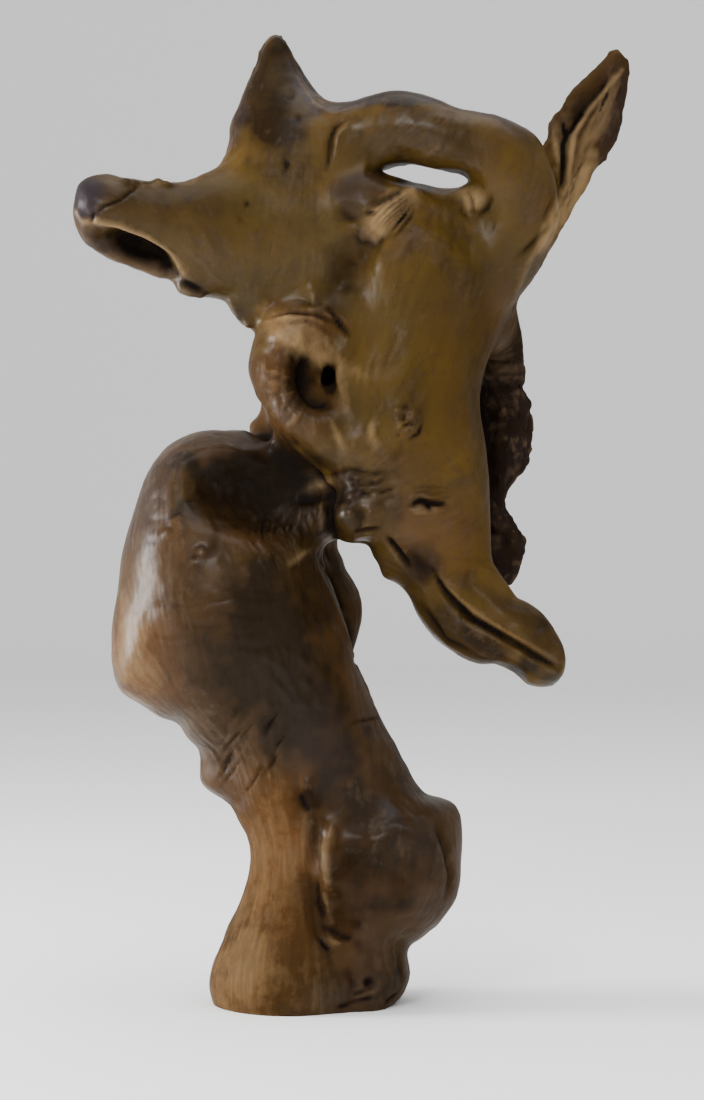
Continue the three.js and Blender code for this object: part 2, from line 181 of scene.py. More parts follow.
def ripple(points, size, seed=0):
    """Smooth random waves about `size` millimetres long, from -1 to 1."""
    at = points / size + 13.7 * seed
    cell = np.floor(at).astype(np.int64)
    share = at - cell
    share = share**3 * (share * (share * 6 - 15) + 10)
    total = np.zeros(len(points))
    for corner in range(8):
        step = np.array([corner >> 2 & 1, corner >> 1 & 1, corner & 1])
        weight = np.prod(np.where(step, share, 1 - share), axis=1)
        x, y, z = (cell + step).T
        # A chance number for each corner of a cell, mixed from its place and the seed
        bits = (x * 73856093 ^ y * 19349663 ^ z * 83492791 ^ seed * 2654435) & 0xFFFFFFFF
        bits = (bits ^ bits >> 15) * 2246822519 & 0xFFFFFFFF
        bits = (bits ^ bits >> 13) * 3266489917 & 0xFFFFFFFF
        total += weight * ((bits ^ bits >> 16) / 2**31 - 1)
    return total


class Skin:
    """A closed skin of quads, in millimetres, with the neighbours of each point."""

    def __init__(self, mesh):
        self.points = column(mesh.vertices, "co", 3).astype(float) / MM
        self.faces = corners(mesh)
        self.table = self.neighbours()

    def neighbours(self):
        """The points round each point, over edges and diagonals, and the point itself as filling."""
        a, b, c, d = self.faces.T
        one = np.concatenate([a, b, c, d, a, b]).astype(np.int64)
        two = np.concatenate([b, c, d, a, c, d]).astype(np.int64)
        count = len(self.points)
        pairs = np.unique(np.concatenate([one * count + two, two * count + one]))
        here, there = pairs // count, pairs % count
        place = np.arange(len(here)) - np.searchsorted(here, here)
        width = min(place.max() + 1, MOST_NEIGHBOURS)
        table = np.repeat(np.arange(count)[:, None], width, axis=1)
        keep = place < width
        table[here[keep], place[keep]] = there[keep]
        return table

    def spread(self, values, rounds):
        """Values, evened out with those round them."""
        for _ in range(rounds):
            values = KEEP * values + (1 - KEEP) * values[self.table].mean(axis=1)
        return values

    def normals(self):
        a, b, c, d = self.faces.T
        p = self.points
        across = np.cross(p[c] - p[a], p[d] - p[b])
        total = np.zeros_like(p)
        for corner in (a, b, c, d):
            for axis in range(3):
                total[:, axis] += np.bincount(corner, across[:, axis], len(p))
        return unit(total)

    def write(self, mesh):
        """Gives the places of the points to a mesh."""
        mesh.vertices.foreach_set("co", (self.points * MM).astype(np.float32).ravel())


# From the sawn model to one worn skin


def joined_model():
    """One mesh of all the branches, each a little swollen so that the saw cuts close.

    With it come a finder of its nearest face and the number of the branch of each face.
    """
    whole = bmesh.new()
    owner = []
    for number, name in enumerate(BRANCHES):
        part = bmesh.new()
        part.from_mesh(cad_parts[name].data)
        bmesh.ops.remove_doubles(part, verts=part.verts, dist=1e-6)
        part.normal_update()
        for v in part.verts:
            v.co += v.normal * (SWELL * MM)
        grown = bpy.data.meshes.new("grown")
        part.to_mesh(grown)
        part.free()
        whole.from_mesh(grown)
        bpy.data.meshes.remove(grown)
        whole.faces.ensure_lookup_table()
        owner += [number] * (len(whole.faces) - len(owner))
    mesh = bpy.data.meshes.new("joined")
    whole.to_mesh(mesh)
    finder = BVHTree.FromBMesh(whole)
    whole.free()
    return mesh, finder, np.array(owner)


def evaluated(mesh, kind, **settings):
    """A mesh after one modifier."""
    holder = bpy.data.objects.new("holder", mesh)
    bpy.context.scene.collection.objects.link(holder)
    modifier = holder.modifiers.new("step", kind)
    for name, value in settings.items():
        setattr(modifier, name, value)
    graph = bpy.context.evaluated_depsgraph_get()
    made = bpy.data.meshes.new_from_object(holder.evaluated_get(graph))
    bpy.data.objects.remove(holder)
    bpy.data.meshes.remove(mesh)
    return made


def worn_skin(spacing, wear):
    """The fine skin. Its faces carry their branch, and its points the grain and its bands."""
    joined, finder, owner = joined_model()
    coarse = evaluated(joined, "REMESH", mode="VOXEL", voxel_size=spacing, adaptivity=0.0)
    skin = Skin(coarse)
    # The skin is evened out, and most of what it lost at its thin ends is given back
    rounds = int(round(2.6 * (wear / spacing) ** 2))
    smooth = skin.spread(skin.points, rounds)
    smooth += 0.8 * skin.spread(skin.points - smooth, rounds)
    skin.points = smooth
    skin.points -= SWELL * skin.normals()
    skin.write(coarse)
    centres = skin.points[skin.faces].mean(axis=1) * MM
    branch = np.array([owner[finder.find_nearest(Vector(centre))[2]] for centre in centres])
    layer = coarse.attributes.new("branch", "INT", "FACE")
    layer.data.foreach_set("value", gathered(skin, branch).astype(np.int32))
    lie = grain_lie(skin, skin.normals(), way_up(skin))
    dice = np.random.default_rng(5)
    grain = skin.spread(dice.standard_normal(len(skin.points)), 2)
    set_mark(coarse, "band", drawn_out(skin, lie, grain, 14, 2.2))
    for axis in range(3):
        set_mark(coarse, "lie_" + "xyz"[axis], lie[:, axis])
    return evaluated(coarse, "SUBSURF", levels=1, render_levels=1)


def gathered(skin, branch):
    """The branch of each face, with strays given to the branch round them."""
    shares = []
    for number in range(len(BRANCHES)):
        own = np.zeros(len(skin.points))
        count = np.zeros(len(skin.points))
        for corner in skin.faces.T:
            np.add.at(own, corner, branch == number)
            np.add.at(count, corner, 1)
        shares.append(skin.spread(own / count, 4)[skin.faces].mean(axis=1))
    return np.argmax(shares, axis=0)


def way_up(skin):
    """How far each point is from the foot, along the wood."""
    foot_height, most_steps = 6, 700
    far = np.where(skin.points[:, 2] < foot_height, 0.0, 1e6)
    length = np.linalg.norm(skin.points[skin.table] - skin.points[:, None], axis=2)
    for _ in range(most_steps):
        nearer = np.minimum(far, (far[skin.table] + length).min(axis=1))
        if np.array_equal(nearer, far):
            break
        far = nearer
    return skin.spread(far, 12)


# The grain


def laid_flat(lie, normal):
    """Directions, turned to lie in the surface."""
    return unit(lie - normal * (lie * normal).sum(axis=1, keepdims=True))


def grain_lie(skin, normal, rise):
    """The way that the fibres run at each point: up from the foot, and evened out."""
    step = skin.points[skin.table] - skin.points[:, None]
    size = np.maximum((step**2).sum(axis=2), 1e-6)
    lie = (step * ((rise[skin.table] - rise[:, None]) / size)[..., None]).sum(axis=1)
    lie = laid_flat(lie, normal)
    rounds = 24
    for _ in range(rounds):
        near = lie[skin.table]
        side = np.sign((near * lie[:, None]).sum(axis=2))
        lie = (near * side[..., None]).sum(axis=1)
        lie = laid_flat(lie, normal)
    return lie


def drawn_out(skin, lie, values, steps, stride=1.1):
    """Values, drawn out along the fibres into streaks by steps of a stride in millimetres."""
    total, count = values.copy(), 1
    for way in (1.0, -1.0):
        place = skin.points.copy()
        nearest = np.arange(len(place))
        heading = lie * way
        for _ in range(steps):
            place += heading * stride
            choice = np.concatenate([skin.table[nearest], nearest[:, None]], axis=1)
            gap = ((skin.points[choice] - place[:, None]) ** 2).sum(axis=2)
            nearest = choice[np.arange(len(place)), gap.argmin(axis=1)]
            turn = lie[nearest]
            heading = turn * np.where((turn * heading).sum(axis=1) < 0, -1.0, 1.0)[:, None]
            total += values[nearest]
            count += 1
    return total / count


# Carving, by places in the photograph


def seen(points):
    """Where points show in the photograph, in its pixels."""
    off = points - EYE
    scale = -EYE[1] / (PIXEL * off[:, 1])
    right, down = off[:, 0] * scale, -off[:, 2] * scale
    return np.stack([FRAME_WIDTH / 2 + right, FRAME_HEIGHT / 2 + down], axis=1)


class Carver:
    """Carves and colours a skin by strokes that are placed where they show in the photograph."""

    def __init__(self, skin, normal, branch):
        self.skin = skin
        self.normal = normal
        self.branch = branch
        self.place = seen(skin.points)
        self.facing = -normal[:, 1]
        self.front = soft(self.facing, -0.15, 0.3)
        self.height = np.zeros(len(skin.points))
        self.marks = {name: np.zeros(len(skin.points)) for name in MARKS}
        self.ragged = 0.3 * ripple(skin.points, 16, 51) + 0.2 * ripple(skin.points, 6, 52)
        self.finder = BVHTree.FromPolygons(skin.points.tolist(), skin.faces.tolist())

    def own(self, name):
        """1 on a branch, and 0 on the others."""
        return (self.branch == BRANCHES.index(name)) * 1.0

    def stain(self, name, amount, weight):
        """Raises a mark to an amount, where it is lower."""
        self.marks[name] = np.maximum(self.marks[name], amount * weight)

    def spot(self, px, py):
        """The point of the wood that shows at a pixel, or where none does, the nearest one."""
        there = Vector(((px - FRAME_WIDTH / 2) * PIXEL, -EYE[1], (FRAME_HEIGHT / 2 - py) * PIXEL))
        hit = self.finder.ray_cast(Vector(EYE), there.normalized())[0]
        if hit is not None:
            return np.array(hit)
        behind = np.where(self.facing < 0, 20, 0)
        off = np.hypot(self.place[:, 0] - px, self.place[:, 1] - py) + behind
        return self.skin.points[off.argmin()]

    def line(self, pixels):
        """Distance from each point to a line that is drawn on the wood, and the share along it."""
        path = []
        for (ax, ay), (bx, by) in zip(pixels, pixels[1:]):
            parts = max(1, int(math.hypot(bx - ax, by - ay) / STROKE_STEP))
            path += [(ax + (bx - ax) * i / parts, ay + (by - ay) * i / parts) for i in range(parts)]
        path.append(pixels[-1])
        spots = np.array([self.spot(*p) for p in path])
        low, high = spots.min(axis=0) - STROKE_REACH, spots.max(axis=0) + STROKE_REACH
        best = np.full(len(self.skin.points), 1e6)
        share = np.zeros(len(best))
        near = np.nonzero(np.all((self.skin.points > low) & (self.skin.points < high), axis=1))[0]
        p = self.skin.points[near]
        for i, (a, b) in enumerate(zip(spots, spots[1:])):
            way = b - a
            t = np.clip(((p - a) @ way) / max(way @ way, 1e-9), 0, 1)
            gap = np.linalg.norm(p - a - t[:, None] * way, axis=1)
            closer = gap < best[near]
            best[near[closer]] = gap[closer]
            share[near[closer]] = (i + t[closer]) / (len(spots) - 1)
        return best, share

    def stroke(self, width, height, tone, *pixels):
        """A ridge along a line of pixels, or a groove where the height is below 0.

        Width and height are in millimetres. The tone is how pale a ridge is, or how dark a groove's
        painted shade.
        """
        gap, share = self.line(pixels)
        groove = height < 0
        blunt = 0.02 if groove else 0.03
        ends = np.sqrt(np.sin(np.pi * np.clip(share, blunt, 1 - blunt)))
        shape = np.exp(-((gap / width) ** 2)) * ends
        self.height += height * shape
        if tone and groove:
            self.stain("hollow", tone, np.exp(-((gap / (width * 1.1)) ** 2)) * ends)
        elif tone:
            self.stain("pale", tone, shape)

    def strokes(self, *rows):
        """Strokes, each a row of its width, its height, its tone and the pixels that it runs through."""
        for row in rows:
            self.stroke(*row)

    def near(self, px, py, radius):
        """1 at the spot that shows at a pixel, and less away from it."""
        off = self.skin.points - self.spot(px, py)
        return np.exp(-(off**2).sum(axis=1) / radius**2)

    def knob(self, px, py, radius, height):
        """A round swelling, or a round dip where the height is below 0."""
        self.height += height * self.near(px, py, radius)

    def pit(self, px, py, radius, depth, dark):
        """A small round hole, darkened inside with painted shade."""
        weight = self.near(px, py, radius)
        self.height -= depth * weight
        self.stain("hollow", dark, weight)

    def oval(self, name, px, py, rx, ry, amount, turn=0, soften=0.5, only=None):
        """Adds to a mark in an oval of the photograph, turned by degrees, with a ragged soft edge."""
        angle = math.radians(turn)
        dx, dy = self.place[:, 0] - px, self.place[:, 1] - py
        u = (dx * math.cos(angle) + dy * math.sin(angle)) / rx
        v = (-dx * math.sin(angle) + dy * math.cos(angle)) / ry
        weight = (1 - soft(np.hypot(u, v) + self.ragged, 1 - soften, 1 + soften)) * self.front
        if only:
            weight = weight * self.own(only)
        self.marks[name] += amount * weight

    def paint(self, **ovals):
        """Adds rows of ovals to the marks. Amounts below 0 take a colour away."""
        for name, rows in ovals.items():
            for row in rows:
                self.oval(name, *row)


def fit_outline(skin):
    """Moves the outline by a few millimetres, where the model is a little fuller or leaner."""
    # Each row is a pixel, how far the wood there goes to the right and up, and how wide the move is
    moves = (
        (274, 45, -0.5, 6.6, 7), (257, 62, 1.5, 0, 9), (305, 75, -1.8, 0, 9), (345, 100, 0, -1.2, 12),
        (395, 93, 0, 2.2, 16), (458, 104, -0.8, -2.2, 14), (524, 128, 0.8, 0.6, 14),
        (541, 141, 0.8, 0.8, 7), (552, 125, -3, 1, 7), (575, 95, -1.5, 1, 12), (616, 52, 0.5, 3.8, 6),
        (626, 85, 2.2, 0, 14), (592, 176, 1.6, 0, 8), (233, 124, -2.2, 0, 7), (254, 332, 2.5, 0, 5),
        (256, 411, 2, 0.5, 6), (560, 227, 2.4, -0.5, 18), (535, 270, 1.8, 0, 14), (82, 185, -2, 2.5, 8),
        (102, 176, 0, 3, 9), (135, 180, 0, 1.8, 10), (160, 181, 0, 1.2, 8), (188, 178, 0, -2.0, 10),
        (77, 232, 1.6, 0.6, 9), (125, 262, 0, -1.2, 16), (170, 284, 1.5, 2.5, 6), (226, 305, 2, 3.2, 8),
        (236, 320, 1, 1, 4), (430, 166, 0, -3.6, 16), (384, 174, -9, 0, 9), (423, 187, 0, 2.4, 9),
        (468, 186, 3.5, -0.5, 8), (150, 276, 0, -1.6, 10), (461, 840, 1.2, 0, 12),
        (251, 370, -1.6, 0, 10), (520, 304, -1.5, 0, 8), (480, 665, 0, -1.8, 8),
        (388, 728, -1.8, -0.8, 10), (190, 437, -0.4, 1.0, 16), (165, 450, -0.4, 0, 10),
        (250, 427, -2, 1.5, 5), (130, 510, 2, 0, 18), (116, 590, -2.2, 0, 18), (110, 645, 1.5, 0, 13),
        (120, 690, -1.5, -1.5, 10), (333, 553, -3.5, 1, 6), (348, 541, 0, -2.2, 6),
        (348, 570, -2.5, 0, 7), (364, 548, 2.5, 1.5, 6), (385, 575, -2.5, -2.5, 6),
        (359, 612, 2.4, 0, 18), (408, 595, 1.2, 1, 8), (430, 640, -0.6, -0.4, 12),
        (460, 660, -0.5, -2, 9), (497, 668, 0, 2.6, 9), (515, 677, 1, 2.5, 8), (535, 685, 0, 1, 8),
        (515, 594, 0, -2.5, 6), (545, 615, 1, 0.8, 12), (566, 665, 1, -0.5, 7), (522, 330, -1.2, 0, 14),
        (532, 385, -2.6, 0, 14), (535, 425, -1.8, 0, 10), (525, 466, 2.8, -0.5, 8),
        (517, 518, -3.5, 0, 9), (523, 557, 1.5, 0, 6), (510, 583, 2, -2.5, 5), (176, 728, 2, 3.2, 8),
        (378, 705, -2.8, -0.8, 16), (405, 768, 1.2, 0.8, 8), (427, 791, -0.8, -2.0, 7),
        (455, 808, 2.2, 1, 12), (446, 912, -1.4, 0.4, 10), (416, 936, 2, -2.5, 7), (409, 972, 2, 0, 10),
        (394, 1001, -2, 2.5, 7), (220, 943, 2, 0, 10), (210, 985, -1.5, 0, 8), (246, 870, -1.8, 0, 16),
    )
    place = seen(skin.points)
    for px, py, right, up, radius in moves:
        gap = np.hypot(place[:, 0] - px, place[:, 1] - py) * PIXEL
        weight = np.exp(-((gap / radius) ** 2))
        skin.points[:, 0] += right * weight
        skin.points[:, 2] += up * weight
    # The sawn foot is pressed down, and cut off level later, so that it keeps a crisp edge
    press = 2.6
    skin.points[:, 2] -= press * (1 - soft(skin.points[:, 2], 2, 16))


def carve(carver):
    """The folds, knots, cracks and hollows that show in the photograph."""
    for step in (
        carve_snout, carve_head, carve_eye, carve_crown, carve_leg,
        carve_splinter, carve_shoulder, carve_trunk, carve_foot, carve_behind,
    ):
        step(carver)


def carve_snout(carver):
    # The mouth, dark with painted shade, with its pale lip above painted as a highlight, and the ribbed
    # jaw below
    carver.strokes(
        (6, -6.5, 1, (104, 238), (122, 240), (142, 248), (160, 260), (172, 272)),
        (8, -4, 1, (112, 243), (132, 249), (150, 257), (166, 270)),
        (4, -3.5, 1, (128, 240), (146, 246), (163, 258)), (4.5, -4, 1, (146, 260), (160, 266), (172, 276)),
        (6, -1, 1, (112, 240), (130, 250), (150, 262)),
        (2.6, 2.8, 0.8, (76, 212), (84, 221), (98, 221), (120, 225), (146, 236), (166, 250), (184, 272)),
        (3.5, 1.6, 0.25, (104, 252), (128, 262), (152, 272), (176, 280)),
    )
    for px, py in ((148, 262), (156, 265), (165, 268), (173, 272)):
        carver.stroke(1.3, -1, 0.5, (px, py - 7), (px + 4, py + 8))
    # The crack behind the tip, and small checks at its end
    carver.strokes(
        (0.8, -1.3, 0.95, (143, 184), (132, 191), (120, 200), (105, 206), (95, 214)),
        (1.2, -1.2, 0.8, (94, 212), (93, 222)),
    )
    # Dark crumbs on top and under the jaw
    for px, py, size, up in (
        (126, 178, 3.4, 2.6), (136, 179, 3.2, 1.6), (146, 180, 2.6, 1), (158, 178, 3.4, 2.8),
        (167, 181, 2.8, 2),
    ):
        carver.knob(px, py + 5, size, up)
        carver.stain("hollow", 0.8, carver.near(px, py + 4, size))
    for px, py, size in ((182, 288, 4.4), (192, 292, 3.6), (201, 294, 3.0)):
        carver.knob(px, py, size, 2.4)
        carver.stain("umber", 0.9, carver.near(px, py, size * 1.3))
    carver.stroke(2, -1.4, 0.9, (180, 280), (204, 291))


def carve_head(carver):
    # Short dark marks where twigs were
    for px, py, run, dark in (
        (286, 165, 5, 0.75), (246, 204, 4, 0.8), (298, 119, 4, 0.4), (240, 220, 3, 0.3), (292, 96, 6, 0.3),
    ):
        carver.stroke(1.5, -0.7, dark, (px - 1, py - run), (px + 1, py), (px, py + run))
    # The fold where the arch starts
    carver.strokes(
        (1.7, -1.8, 0.85, (346, 119), (335, 128), (331, 140), (329, 156), (327, 170)),
        (2.6, 1, 0.15, (350, 122), (338, 134), (335, 150)),
        # The edge of the saddle between the horn and the arch, with a faint painted highlight along it
        (2.4, 1.2, 0.08, (292, 66), (302, 84), (314, 104), (332, 115), (352, 108)),
        # A pale ridge along the top of the snout, painted as a highlight of light from behind
        (2.5, 0.8, 0.3, (142, 187), (190, 184), (215, 168), (236, 145)),
    )
    # The ragged edge under the head
    for row in ((236, 306, 3.4, 3), (240, 316, 3, 2.4), (249, 323, 3.2, 3.2), (232, 299, 2.6, 2)):
        carver.knob(*row)
    carver.stain("umber", 0.7, carver.near(240, 314, 9))


def carve_eye(carver):
    # The ring: a swollen rim, with ribs that run to the hole, and painted shade between the ribs
    middle = (322, 376)
    dx, dy = (carver.place - middle).T
    angle, reach = np.arctan2(dy, dx), np.hypot(dx * 0.95, dy * 0.8)
    ring = soft(reach, 14, 26) * (1 - soft(reach, 52, 72)) * carver.front * (1 - soft(dx, 5, 30))
    around = np.stack([np.cos(angle) * 30, np.sin(angle) * 30, reach * 0.25], axis=1)
    ribs = ripple(around, 3.4, 21) + 0.6 * ripple(around, 1.6, 22)
    carver.height += 0.36 * ring * ribs
    carver.marks["pale"] += ring * (0.02 + 0.12 * np.clip(ribs, 0, 1))
    carver.marks["hollow"] += 0.16 * ring * np.clip(-ribs - 0.1, 0, 1)
    rim = soft(reach, 28, 40) * (1 - soft(reach, 40, 62)) * carver.front * (1 - soft(dx, -12, 18))
    inner = soft(reach, 10, 18) * (1 - soft(reach, 26, 44)) * carver.front * (1 - soft(dx, -4, 14))
    carver.height += 2.0 * rim - 1.8 * inner
    carver.marks["umber"] += inner * (0.26 - 0.14 * ribs)
    carver.strokes(
        (6.5, 3, 0.5, (266, 327), (290, 341), (312, 357), (328, 364)),
        (5, 1.2, 0.25, (330, 362), (342, 376), (346, 396), (342, 420)),
        (2, -0.8, 0.2, (276, 340), (296, 352), (310, 364)),
        # The crescent left of the hole, dark with painted shade, and the ridge between them
        (4, -4.6, 0.5, (309, 356), (304, 368), (304, 382), (309, 394), (320, 406)),
        (3.5, -2, 0.4, (322, 398), (330, 410)), (2.2, 1.5, 0.4, (318, 358), (319, 372), (320, 386)),
        (3.4, 1.6, 0.3, (336, 352), (343, 368), (344, 388), (338, 404)),
        (2.6, 1.2, 0.4, (330, 418), (338, 436), (346, 452)),
        # Folds over the eye
        (1.7, -1.4, 0.5, (268, 318), (292, 312), (316, 315), (334, 322), (350, 335)),
        (1.6, -1, 0.3, (284, 324), (306, 322), (326, 330), (338, 340)),
        (1.5, -1.8, 0.9, (326, 306), (336, 317), (348, 336)),
        (2.8, 1, 0.35, (262, 326), (284, 318), (308, 319)),
    )


def carve_crown(carver):
    # The dark lobe, with a painted shadow along its lower edge, and the bright folds under the arch,
    # painted pale partly as the light that falls on them
    carver.knob(366, 197, 16, 4.0)
    carver.strokes(
        (4, -2.2, 0.3, (338, 206), (350, 218), (364, 226)),
        (7, 4, 0.75, (366, 226), (384, 214), (400, 200), (418, 193)),
        (5, 2.6, 0.7, (378, 236), (390, 224), (398, 210)),
    )
    dice = np.random.default_rng(17)
    for i in range(11):
        x, y = 364 + 3.0 * i + dice.uniform(-2, 2), 216 + 2.4 * i + dice.uniform(-2, 2)
        path = [(x, y), (x + 16, y - 13 - i), (404 + i, 190 + 1.4 * i)]
        carver.stroke(dice.uniform(0.8, 1.4), -dice.uniform(0.5, 1.2), dice.uniform(0.3, 0.8), *path)
    carver.strokes(
        (2.2, -1.8, 0.9, (372, 208), (388, 200), (404, 190)), (2, -1.2, 0.7, (364, 214), (378, 214)),
        (4.5, 1.6, 0.6, (459, 190), (466, 199), (470, 214)),
        (3, 1, 0.5, (473, 190), (477, 200), (478, 212)),
        (1.1, -0.8, 0.4, (468, 191), (473, 202), (474, 216)),
    )
    carver.paint(
        pale=[(394, 207, 32, 13, 0.45, -44), (448, 191, 18, 7, 0.5), (475, 196, 13, 10, 0.55)],
    )
    carver.strokes(
        (4, 1.4, 0.8, (374, 230), (386, 218), (402, 203), (416, 189)),
        (2.2, -1.6, 0.5, (492, 196), (486, 208), (476, 216)),
        (1.8, -1, 0.3, (461, 196), (462, 210), (470, 222)),
    )
    for ax, ay, bx, by in (
        (442, 200, 438, 258), (452, 204, 452, 262), (462, 222, 470, 258), (432, 205, 424, 246),
    ):
        middle = ((ax + bx) / 2 + 3, (ay + by) / 2)
        carver.stroke(2.2, -0.45, 0.08, (ax, ay), middle, (bx, by))
    # The olive stroke and the broad smooth swelling beside it
    carver.strokes(
        (8, -4, 0, (374, 238), (356, 258), (336, 284)), (10, 3, 0, (416, 232), (396, 252), (374, 278)),
    )
    carver.knob(312, 288, 6, 2.0)
    carver.strokes(
        (2.5, -1.4, 0.3, (300, 300), (312, 304), (326, 300)),
        (9, -2.2, 0, (462, 300), (470, 360), (478, 420), (480, 470)),
        (8, 1.5, 0, (494, 330), (498, 400), (500, 470)), (7, -1.6, 0, (372, 330), (384, 352), (380, 380)),
    )
    carver.knob(352, 376, 14, 2.4)
    carver.knob(430, 350, 26, 2.0)
    # The edge where the arch's end meets the crown
    carver.strokes(
        (2.5, 1.2, 0.2, (556, 212), (540, 238), (526, 266), (512, 300)),
        (1.8, -1.2, 0.7, (552, 222), (530, 246), (516, 258)),
    )
    # The pitted knot, with a smooth swelling beside it
    carver.knob(402, 422, 11, 3.0)
    dice = np.random.default_rng(29)
    for i in range(26):
        turn, reach = dice.uniform(0, 6.28), dice.uniform(2, 15)
        px, py = 404 + reach * math.cos(turn), 422 + reach * math.sin(turn)
        if i % 2:
            carver.knob(px, py, dice.uniform(1.2, 2.2), dice.uniform(0.4, 1.0))
        else:
            carver.pit(px, py, dice.uniform(0.9, 1.7), dice.uniform(0.5, 1.1), 0.35)
    carver.strokes(
        (1.1, -1, 0.8, (410, 438), (419, 433), (421, 424)),
        (3, 1.4, 0.35, (372, 420), (373, 434), (377, 446)),
        # The slit, and the fine wrinkles round it
        (1.8, -4.5, 1, (411, 505), (420, 501), (430, 503), (447, 504)),
        (1.3, -1.6, 0.9, (424, 504), (429, 508), (432, 510)),
        (2.4, 0.8, 0, (408, 511), (424, 514), (444, 512)),
    )
    for rise in (-8, -12, -17):
        carver.stroke(0.9, -0.45, 0.35, (414, 505 + rise), (432, 503 + rise), (450, 506 + rise))
    # The knob, with painted shade in the groove along its left edge, and the cracks under it
    carver.knob(344, 517, 9, 4.6)
    carver.strokes(
        (2.6, -4.2, 0.85, (312, 470), (322, 480), (330, 492), (328, 508), (330, 526), (337, 541)),
        (2.4, -1.6, 0.3, (352, 502), (340, 500), (332, 504)),
        (3, -1.8, 0.3, (360, 506), (362, 518), (356, 530)),
    )
    for x, y, run, bend in (
        (346, 478, 22, 3), (350, 486, 26, -2), (366, 480, 20, 4), (372, 490, 22, 2), (356, 496, 18, -3),
    ):
        carver.stroke(1.3, -1, 0.4, (x, y), (x + run * 0.5, y + bend), (x + run, y - 2))
    carver.strokes(
        (1.8, -1, 0.4, (334, 476), (350, 470), (372, 474), (396, 472)),
        (1.6, -0.8, 0.3, (338, 492), (352, 490), (372, 494)),
        (1.5, -2, 1, (354, 534), (366, 530), (380, 528)),
        (1.2, -1.2, 0.8, (346, 538), (356, 532), (362, 524)),
    )


def carve_leg(carver):
    # The long crack down the leg, the short one above it, and the soft folds beside them, with painted
    # shadow in the fold under the short crack
    carver.strokes(
        (2, -5.5, 1, (432, 572), (443, 590), (470, 617), (497, 633), (530, 653), (560, 669)),
        (1.8, -3.5, 1, (387, 537), (398, 552), (410, 571)),
        (6, -3, 0.55, (404, 552), (418, 566), (432, 584)),
        (3, 1, 0.2, (440, 572), (458, 600), (486, 622), (522, 640)),
        (2.5, -2, 0.9, (420, 604), (446, 640), (470, 652)),
        (2.2, -0.7, 0.15, (470, 560), (466, 585), (474, 603)),
    )


def carve_splinter(carver):
    # The rough hollow, with a sharp pale edge on its right
    carver.strokes(
        (6.5, -4, 0.6, (612, 74), (600, 92), (584, 108), (570, 128), (560, 148)),
        (1.9, 2.6, 1, (622, 70), (608, 88), (588, 112), (574, 134), (570, 160), (564, 196)),
        (2, -3, 1, (586, 112), (576, 122), (570, 134)), (1.6, -2.4, 1, (562, 140), (563, 160), (562, 184)),
        (1.6, -1.8, 0.8, (560, 118), (566, 136), (563, 150)),
        (2, 1.2, 0.35, (553, 128), (556, 148), (560, 166)),
    )
    rough = ripple(carver.skin.points, 7, 31) + 0.6 * ripple(carver.skin.points, 3.2, 32)
    carver.height += 0.55 * rough * carver.skin.spread(carver.own("splinter"), 4)
    carver.stroke(2.2, 1.4, 0.4, (575, 170), (566, 196), (552, 224), (538, 250))
    dice = np.random.default_rng(23)
    for _ in range(26):
        along, across = dice.uniform(0, 1), dice.uniform(-9, 9)
        x, y = 614 - 62 * along + across, 82 + 138 * along + 0.4 * across
        path = [(x + 5, y - 10), (x + dice.uniform(-1, 1), y), (x - 5, y + 11)]
        carver.stroke(dice.uniform(0.8, 1.4), -dice.uniform(0.3, 1.0), dice.uniform(0.15, 0.6), *path)


def carve_shoulder(carver):
    # The edge between the flank and the dark hollow, and the smooth hollow itself
    carver.stroke(6, 1.6, 0, (184, 446), (181, 470), (178, 494), (170, 526))
    carver.knob(262, 482, 30, -5)
    carver.knob(222, 470, 22, -3)
    carver.strokes(
        (3.4, 2, 0.42, (304, 489), (320, 484), (338, 479)),
        (3.5, -2.2, 0.8, (296, 500), (318, 497), (338, 494)),
    )
    # Knots on the flank
    for px, py, size, up in (
        (179, 521, 4.5, 0.9), (168, 534, 3.2, 0.65), (201, 552, 3.6, 0.75), (195, 563, 4, 0.8),
    ):
        carver.knob(px, py, size, up)
        carver.stroke(1.1, -0.5, 0.5, (px - 7, py - 3), (px, py - 7), (px + 7, py - 2))
    carver.stroke(2.2, -0.9, 0.3, (210, 512), (218, 526), (216, 546), (206, 560))
    # Wrinkles of the neck, that fan out from its underside
    dice = np.random.default_rng(3)
    for i in range(36):
        x, y = 256 + 2.2 * i + dice.uniform(-2, 2), 554 - 0.9 * i + dice.uniform(-9, 8)
        bend, run = dice.uniform(-5, 2), dice.uniform(22, 42)
        path = [(x, y), (x - 5 + bend, y - run * 0.5), (x - 3 + bend * 0.4, y - run)]
        carver.stroke(dice.uniform(0.9, 1.2), -dice.uniform(0.4, 1.0), dice.uniform(0.15, 0.4), *path)
    carver.stroke(2.2, 1, 0.4, (288, 566), (300, 556), (312, 548))


